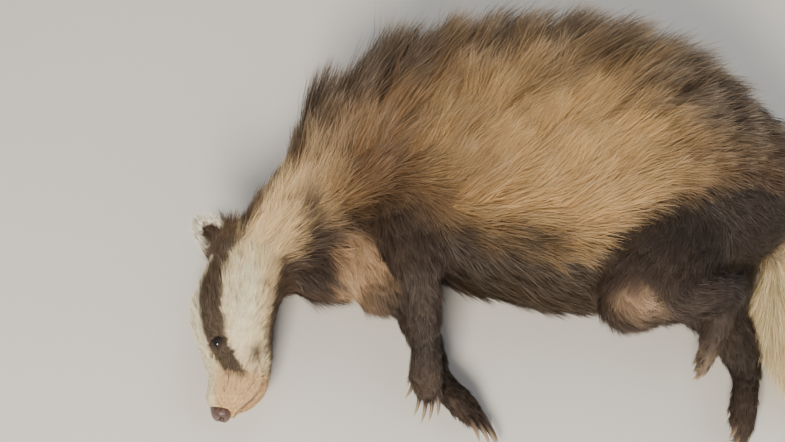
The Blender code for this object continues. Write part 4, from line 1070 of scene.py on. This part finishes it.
def grow(name, pick, long_hair):
    """One coat piece from the picked tufts."""
    m = len(pick)
    rng = np.random.default_rng(len(name) * 7 + m)
    take = lambda k: np.repeat(tuft[k][pick], BLADES, axis=0)
    P, N, F = (np.repeat(v, BLADES, axis=0) for v in (root[pick], out_dir[pick], tuft["flow"][pick]))
    L, lift, extra, W, clump, spread, G, T, UV = (take(k) for k in ("length", "lift", "extra", "width", "clump", "spread", "grizzle", "tint", "uv"))
    nb = len(P)
    own = np.repeat(rng.normal(size=(m, 4)), BLADES, axis=0)
    team, pull = np.repeat(LOCK_OWN[pick], BLADES, axis=0), np.repeat(draw[pick], BLADES, axis=0)
    B = np.cross(N, F)
    big = np.clip(L / 3, 0.25, 1)
    free = 1 - 0.55 * clump
    swing = np.radians(team[:, 0] * (5 + 7 * big) + own[:, 0] * 5 + rng.normal(size=nb) * 9 * free)
    rise = np.radians(np.clip(lift + extra + team[:, 1] * (2 + 3.4 * big) + own[:, 1] * 3 + rng.normal(size=nb) * 6 * free, 3, 76))
    L = L * np.clip(1 + team[:, 2] * (0.08 + 0.09 * big) + own[:, 2] * 0.08 + rng.normal(size=nb) * 0.11, 0.5, 1.4)
    # some blades are short underfur
    soft = rng.random(nb) < (0.34 if long_hair else 0.15)
    L = np.where(soft, L * 0.60, L)
    G = np.where(soft, G * 0.25, G)
    Fr = F * np.cos(swing)[:, None] + B * np.sin(swing)[:, None]
    d0 = Fr * np.cos(rise)[:, None] + N * np.sin(rise)[:, None]
    lay = (rise - np.radians(extra)) * (0.30 + 0.25 * rng.random(nb)) + np.radians(extra) * 0.75
    d1 = Fr * np.cos(lay)[:, None] + N * np.sin(lay)[:, None]
    offset = (F * rng.normal(size=nb)[:, None] + B * rng.normal(size=nb)[:, None]) * spread[:, None] * 0.75
    base = P - N * np.minimum(0.12, 0.07 * L)[:, None]
    steps = np.array((0.0, 0.34, 0.68, 1.0)) if long_hair else np.array((0.0, 0.5, 1.0))
    wides = np.array((0.85, 1.0, 0.70, 0.0)) if long_hair else np.array((0.9, 0.85, 0.0))
    roll = rng.normal(size=nb) * 0.55
    across = unit(np.cross(d0, N))
    across = across * np.cos(roll)[:, None] + np.cross(d0, across) * np.sin(roll)[:, None]
    bow = (B * (own[:, 3] * 0.05 + team[:, 3] * 0.04 + rng.normal(size=nb) * 0.035)[:, None]) * L[:, None]
    pull = pull * (np.where(soft, 0.35, 0.62) + 0.10 * rng.normal(size=nb))[:, None]
    verts, alongs = [], []
    for t, w in zip(steps, wides):
        c = (base + offset * (1 - clump * t ** 0.8)[:, None] + (d0 * (t - t * t / 2) + d1 * (t * t / 2)) * L[:, None]
             + bow * (t * t) + pull * t ** 1.25)
        if w > 0:
            verts += [c - across * (W * w / 2)[:, None], c + across * (W * w / 2)[:, None]]
            alongs += [t, t]
        else:
            verts.append(c)
            alongs.append(t)
    k = len(verts)
    V = np.stack(verts, 1).reshape(-1, 3)
    # hair past the solids' box lies down closer, and none goes under the floor
    for j in range(3):
        low, high = np.array(CAD_BOX)[:, j] / CM - SHIFT[j]
        room = (0.8, 1.3, 1.1)[j]
        V[:, j] = np.where(V[:, j] > high, high + room * np.tanh((V[:, j] - high) / room), V[:, j])
        if j < 2:
            V[:, j] = np.where(V[:, j] < low, low - 0.8 * np.tanh((low - V[:, j]) / 0.8), V[:, j])
    V[:, 2] = np.maximum(V[:, 2], 0.03 + 0.05 * np.repeat(rng.random(nb), k))
    A = np.tile(np.array(alongs), nb)
    start = np.arange(nb)[:, None] * k
    if long_hair:
        quads = np.concatenate([start + np.array(((0, 1, 3, 2),)), start + np.array(((2, 3, 5, 4),))], 1).reshape(-1, 4)
        tips = start + np.array(((4, 5, 6),))
    else:
        quads = start + np.array(((0, 1, 3, 2),))
        tips = start + np.array(((2, 3, 4),))
    loops = np.concatenate([quads.ravel(), tips.ravel()]).astype(np.int32)
    starts = np.concatenate([np.arange(len(quads)) * 4, len(quads) * 4 + np.arange(len(tips)) * 3]).astype(np.int32)
    mesh = bpy.data.meshes.new(name)
    mesh.vertices.add(len(V))
    mesh.vertices.foreach_set("co", ((V + SHIFT) * CM).astype(np.float32).ravel())
    mesh.loops.add(len(loops))
    mesh.loops.foreach_set("vertex_index", loops)
    mesh.polygons.add(len(starts))
    mesh.polygons.foreach_set("loop_start", starts)
    mesh.update(calc_edges=True)
    mesh.shade_smooth()
    # colour: locks, tufts and blades differ a little in lightness and warmth
    light = 1 + team[:, 3] * 0.05 + np.repeat(rng.normal(size=m), BLADES) * 0.08 + rng.normal(size=nb) * (0.13 if long_hair else 0.15)
    warm = rng.normal(size=nb) * 0.04
    T = np.clip(T * np.clip(light, 0.45, 1.5)[:, None] * (1 + warm[:, None] * np.array((1.0, 0.0, -1.4))), 0.004, 0.95)
    paint(mesh, "tint", np.repeat(T, k, axis=0), "FLOAT_COLOR")
    paint(mesh, "along", np.clip(A + np.repeat(rng.normal(size=nb) * 0.07 + team[:, 0] * 0.03, k) * np.clip(A * 3, 0, 1), 0, 1))
    paint(mesh, "grizzle", np.repeat(np.clip(G * (0.75 + 0.5 * rng.random(nb)), 0, 1), k))
    layer = mesh.uv_layers.new(name="OFBake")
    within = np.tile(np.linspace(-0.5, 0.5, BLADES), m)
    u = np.repeat(UV[:, 0] + within * 0.0030, k)
    v = np.repeat(UV[:, 1], k) + (A - 0.5) * 0.0030
    layer.data.foreach_set("uv", np.stack([u[loops], v[loops]], 1).astype(np.float32).ravel())
    obj = bpy.data.objects.new(name, mesh)
    bpy.context.scene.collection.objects.link(obj)
    mesh.materials.append(FUR)
    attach(obj, "root")
    return nb * (5 if long_hair else 3)


# ---------------------------------------------------------------- materials
m = Nodes("fur")
along, tone, band = m.attribute("along"), m.attribute("tint", "Color"), m.attribute("grizzle")
streak = m.noise(900.0, 2.0, 0.6)
varied = m.mix(m.math("MULTIPLY", streak, 0.35), tone, m.mix(1.0, tone, (0.62, 0.56, 0.50), "MULTIPLY"))
# painted shade: each blade is darkened towards its root, as shade deep inside the coat
root_shaded = m.mix(m.ramp(along, (0.0, (0.85,) * 3), (0.35, (0.42,) * 3), (0.72, (0.0,) * 3)), varied, m.mix(1.0, varied, (0.42, 0.35, 0.28), "MULTIPLY"))
dark = m.math("MULTIPLY", m.ramp(along, (0.30, (0.0,) * 3), (0.48, (0.85,) * 3), (0.74, (0.85,) * 3), (0.88, (0.0,) * 3)), band)
banded = m.mix(dark, root_shaded, (0.040, 0.029, 0.021))
tip = m.math("MULTIPLY", m.ramp(along, (0.80, (0.0,) * 3), (0.93, (0.8,) * 3)), m.math("MULTIPLY", band, 0.8))
FUR = m.set(Base_Color=m.mix(tip, banded, (0.70, 0.60, 0.45)), Roughness=m.math("ADD", m.math("MULTIPLY", streak, 0.16), 0.46), Specular_IOR_Level=0.35)

m = Nodes("skin")
tone, bare, close = m.attribute("tint", "Color"), m.attribute("bare"), m.attribute("short")
coords = m.tree.nodes.new("ShaderNodeTexCoord").outputs["Object"]
grain, broad = m.noise(1500.0, 3.0, 0.65, coords), m.noise(180.0, 3.0, 0.6, coords)
colour = m.mix(m.ramp(grain, (0.30, (0.55,) * 3), (0.62, (0.0,) * 3)), tone, m.mix(1.0, tone, (0.45, 0.38, 0.32), "MULTIPLY"))
colour = m.mix(m.math("MULTIPLY", broad, 0.35), colour, m.mix(1.0, colour, (0.72, 0.66, 0.60), "MULTIPLY"))
m.bump(m.math("ADD", m.math("MULTIPLY", grain, 0.7), m.math("MULTIPLY", broad, 0.5)), 0.0006, 0.7)
skin_look = m.set(Base_Color=colour, Roughness=m.math("SUBTRACT", 0.74, m.math("MULTIPLY", bare, 0.24)), Specular_IOR_Level=0.35)

m = Nodes("horn")
along = m.attribute("along")
coords = m.tree.nodes.new("ShaderNodeTexCoord").outputs["Object"]
lines, spots = m.noise(1400.0, 3.0, 0.6, coords), m.noise(260.0, 3.0, 0.6, coords)
colour = m.ramp(along, (0.0, rgb(66, 52, 42)), (0.35, rgb(104, 86, 68)), (0.75, rgb(150, 130, 104)), (1.0, rgb(186, 168, 140)))
colour = m.mix(m.math("MULTIPLY", spots, 0.5), colour, m.mix(1.0, colour, (0.55, 0.45, 0.38), "MULTIPLY"))
m.bump(m.math("ADD", lines, m.math("MULTIPLY", spots, 0.6)), 0.00035, 0.5)
HORN = m.set(Base_Color=colour, Roughness=m.math("ADD", m.math("MULTIPLY", spots, 0.22), 0.30), Specular_IOR_Level=0.5)

m = Nodes("nose_leather")
coords = m.tree.nodes.new("ShaderNodeTexCoord").outputs["Object"]
cells = m.tree.nodes.new("ShaderNodeTexVoronoi")
cells.inputs["Scale"].default_value = 1300.0
m.put(cells.inputs["Vector"], coords)
pebble = m.ramp(cells.outputs["Distance"], (0.0, (1.0,) * 3), (0.55, (0.25,) * 3), (0.8, (0.0,) * 3))
mottle = m.noise(240.0, 4.0, 0.6, coords)
# painted shade: the nostrils' hollows and the groove down the middle are coloured near black
hollow = m.attribute("hollow")
colour = m.ramp(mottle, (0.25, rgb(52, 38, 34)), (0.5, rgb(86, 64, 56)), (0.75, rgb(120, 94, 84)))
colour = m.mix(m.math("MULTIPLY", m.math("SUBTRACT", 1.0, pebble), 0.35), colour, m.mix(1.0, colour, (0.5, 0.42, 0.38), "MULTIPLY"))
colour = m.mix(hollow, colour, rgb(30, 18, 16))
m.bump(pebble, 0.00025, 0.8)
NOSE = m.set(Base_Color=colour, Roughness=m.math("ADD", m.math("MULTIPLY", mottle, 0.25), 0.26), Specular_IOR_Level=0.55)

m = Nodes("eye")
front = m.attribute("front")
flecks = m.noise(1600.0, 3.0, 0.6)
iris = m.mix(m.math("MULTIPLY", flecks, 0.8), rgb(20, 11, 8), rgb(66, 38, 22))
colour = m.mix(m.ramp(front, (0.80, (0.0,) * 3), (0.86, (1.0,) * 3)), iris, rgb(6, 5, 5))
colour = m.mix(m.ramp(front, (0.42, (1.0,) * 3), (0.56, (0.0,) * 3)), colour, rgb(40, 26, 22))
EYE = m.set(Base_Color=colour, Roughness=m.math("ADD", m.math("MULTIPLY", flecks, 0.04), 0.05), Specular_IOR_Level=0.6, Coat_Weight=1.0, Coat_Roughness=0.02)

m = Nodes("whisker")
WHISKER = m.set(Base_Color=m.ramp(m.attribute("along"), (0.0, rgb(40, 30, 26)), (1.0, rgb(120, 100, 84))), Roughness=0.4)

m = Nodes("floor")
coords = m.tree.nodes.new("ShaderNodeTexCoord").outputs["Object"]
cloud = m.noise(2.0, 4.0, 0.5, coords)
fine = m.noise(700.0, 2.0, 0.5, coords)
m.bump(fine, 0.0002, 0.25)
floor_look = m.set(Base_Color=m.mix(cloud, rgb(206, 202, 195), rgb(216, 213, 207)), Roughness=0.75, Specular_IOR_Level=0.25)

skin.data.materials.clear()
skin.data.materials.append(skin_look)
FLESH = [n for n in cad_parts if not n.startswith(("claw_", "eye_", "nose"))]
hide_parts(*FLESH)
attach(skin, "root")

# ---------------------------------------------------------------- grow the coat in pieces
triangles = 0
for region, base_name, slot_name, long_hair in ((0, "coat_head", "head_fur", False), (1, "coat_neck", "neck_fur", True), (2, "coat_trunk", "body_fur", True),
                                                (3, "coat_ears", "ear_fur", False), (4, "coat_tail", "tail_fur", True), (5, "coat_legs", "leg_fur", False)):
    pick = np.nonzero(tuft["region"] == region)[0]
    pick = pick[np.argsort(tuft["s"][pick], kind="stable")]
    each = BLADES * (5 if long_hair else 3)
    pieces = int(math.ceil(len(pick) * each / 190000))
    for j, part in enumerate(np.array_split(pick, pieces)):
        triangles += grow(base_name if pieces == 1 else f"{base_name}_{j + 1}", part, long_hair)
print("coat triangles", triangles)


# ---------------------------------------------------------------- eyes, nose, claws and whiskers
def smooth_piece(name, points, faces, material, slot_name, nodes, **attributes):
    obj = new_object(name, points, faces)
    bm = bmesh.new()
    bm.from_mesh(obj.data)
    bmesh.ops.recalc_face_normals(bm, faces=bm.faces)
    bm.to_mesh(obj.data)
    bm.free()
    for key, values in attributes.items():
        paint(obj.data, key, np.asarray(values))
    obj.data.shade_smooth()
    obj.data.materials.append(material)
    if nodes:
        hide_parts(*nodes)
    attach(obj, "root")
    return obj


for side, name in ((1, "left"), (-1, "right")):
    centre, outward, along, over = eye_frame(side)
    points, faces = ball(centre, np.full(3, EYE_RADIUS), (along, over, outward), 40, 26)
    q = points - centre
    forward = (q @ outward) / EYE_RADIUS
    points = centre + q * (1 + 0.05 * step(forward, 0.80, 1.0))[:, None]
    smooth_piece("eyeball_" + name, points, faces, EYE, "eye_dark", ["eye_" + name], front=np.clip(forward, 0, 1))

rings = []
for behind, up, down, wide in ((-0.40, 0.08, 0.06, 0.12), (-0.38, 0.30, 0.22, 0.50), (-0.31, 0.50, 0.37, 0.82), (-0.20, 0.66, 0.48, 1.02), (-0.05, 0.78, 0.56, 1.15),
                               (0.12, 0.87, 0.60, 1.21), (0.30, 0.94, 0.60, 1.21), (0.50, 1.00, 0.54, 1.12), (0.72, 1.05, 0.46, 0.96), (0.95, 1.05, 0.32, 0.76), (1.2, 0.95, 0.2, 0.5)):
    a = 2 * np.pi * np.arange(72) / 72
    n_, up, down, wide = 2.3, up * 1.08, down * 1.12, wide * 1.08
    c_, s_ = np.cos(a), np.sin(a)
    high = np.where(c_ > 0, up, down)
    r = ((np.abs(c_) / high) ** n_ + (np.abs(s_) / wide) ** n_) ** (-1 / n_)
    rings.append(NOSE_TIP - HEAD_FORWARD * behind + HEAD_DORSAL * 0.12 + HEAD_DORSAL * (c_ * r)[:, None] + HEAD_LEFT * (s_ * r)[:, None])
dense = []
rings = np.array(rings)
for j in np.linspace(0, len(rings) - 1, 46):
    k = min(int(j), len(rings) - 2)
    dense.append(rings[k] + (rings[k + 1] - rings[k]) * (j - k))
points, faces = closed(dense)
s_n, d_n, l_n = head_local(points)
# hollow marks the carved nostrils and, below, the middle groove; the nose material paints these darker as shade
hollow = np.zeros(len(points))
for side in (1, -1):
    # a comma: a round hole at the front, with a slit that curls out and back
    for dl, dd, ds, size, deep in ((0.46, 0.16, -0.32, 0.17, 0.44), (0.62, 0.22, -0.27, 0.15, 0.38), (0.78, 0.20, -0.20, 0.13, 0.32),
                                   (0.92, 0.10, -0.10, 0.115, 0.28), (1.02, -0.04, 0.02, 0.105, 0.24), (1.10, -0.12, 0.20, 0.10, 0.20), (1.14, -0.14, 0.38, 0.09, 0.14)):
        near = np.exp(-(((l_n * side - dl) ** 2 + (d_n - dd) ** 2 + ((s_n - ds) * 0.7) ** 2) / size ** 2))
        hollow = np.maximum(hollow, near)
        points = points - HEAD_FORWARD * (near * deep)[:, None] - HEAD_LEFT * side * (near * deep * 0.25)[:, None]
groove = bell(l_n, 0, 0.06) * (1 - step(d_n, 0.3, 0.7)) * (1 - step(s_n, 0.3, 0.7))
points = points - HEAD_FORWARD * (groove * 0.07)[:, None]
smooth_piece("nose_pad", points, faces, NOSE, "nose_leather", ["nose"], hollow=np.clip(step(hollow, 0.35, 0.8) + groove * 0.4, 0, 1))

points, faces, shares, base = [], [], [], 0
for leg, spec in PAWS.items():
    _, _, along, wide, back = paw_axes(spec)
    for k in range(5):
        toe_root, toe_tip = toe_line(spec, k)
        run = unit(toe_tip - toe_root)
        length = spec["claw"] * (1 - 0.10 * abs(k - 2) - (0.1 if k == 0 else 0))
        start = toe_tip + back * 0.14 + run * (spec["toe"] * 0.35)
        rings = []
        for t in np.linspace(-0.55 / length, 1, 15):
            bend = max(t, 0)
            arch = 0.16 * length * (bend * (1.5 - bend) - 0.5 * bend)
            c = start + run * length * t + back * (arch - 0.20 * length * bend * bend)
            taper = (max(1 - max(t, 0), 0) ** 0.62 * 0.95 + 0.05) * (1 if t >= 0 else 1 + 0.2 * t)
            tangent = unit(run + back * (0.16 * (1 - 2 * bend) - 0.40 * bend))
            w = unit(wide - tangent * (wide @ tangent))
            up = np.cross(w, tangent)
            a = 2 * np.pi * np.arange(12) / 12
            rings.append(c + up * (np.cos(a) * 0.27 * taper)[:, None] + w * (np.sin(a) * 0.20 * taper * (1 - 0.25 * np.cos(a)))[:, None])
            shares += [np.clip(t, 0, 1)] * 12
        q, f = closed(rings)
        shares += [0.0, 1.0]
        q[:, 2] = np.maximum(q[:, 2], 0.05)
        points.append(q)
        faces += [tuple(i + base for i in face) for face in f]
        base += len(q)
smooth_piece("claws", np.concatenate(points), faces, HORN, "claw_horn", [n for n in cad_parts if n.startswith("claw_")], along=shares)

points, faces, shares, base = [], [], [], 0
rng = np.random.default_rng(8)
for side in (1, -1):
    for k in range(13):
        row, place = k % 3, k // 3
        p0, out = on_head(1.5 + 0.55 * place + 0.1 * row, (84 + 17 * row) * side, -0.28)
        drift = unit(out * 0.75 - HEAD_FORWARD * (0.45 + 0.12 * place) + rng.normal(size=3) * 0.10)
        length = 1.7 + 0.42 * place + rng.random() * 0.5
        t = np.linspace(0, 1, 8)
        line = p0 + drift * (t * length)[:, None] + (-HEAD_FORWARD * 0.25 + np.array([0, 0, -0.12])) * (t * t * length * 0.5)[:, None]
        line[:, 2] = np.maximum(line[:, 2], 0.15)
        tangent = unit(np.gradient(line, axis=0))
        u = unit(np.cross(tangent, np.array([0.3, 0.2, 1.0])))
        v = np.cross(tangent, u)
        a = 2 * np.pi * np.arange(4) / 4
        rings = [line[j] + (u[j] * np.cos(a)[:, None] + v[j] * np.sin(a)[:, None]) * (0.022 * (1 - 0.85 * t[j])) for j in range(8)]
        q, f = closed(rings)
        shares += [x for x in t for _ in range(4)] + [0.0, 1.0]
        points.append(q)
        faces += [tuple(i + base for i in face) for face in f]
        base += len(q)
smooth_piece("whiskers", np.concatenate(points), faces, WHISKER, "head_fur", [], along=shares)

bpy.ops.mesh.primitive_plane_add(size=14, location=(0, 0, -0.0003))
floor = bpy.context.object
floor.name = "floor"
floor.data.materials.append(floor_look)

bpy.context.view_layer.update()
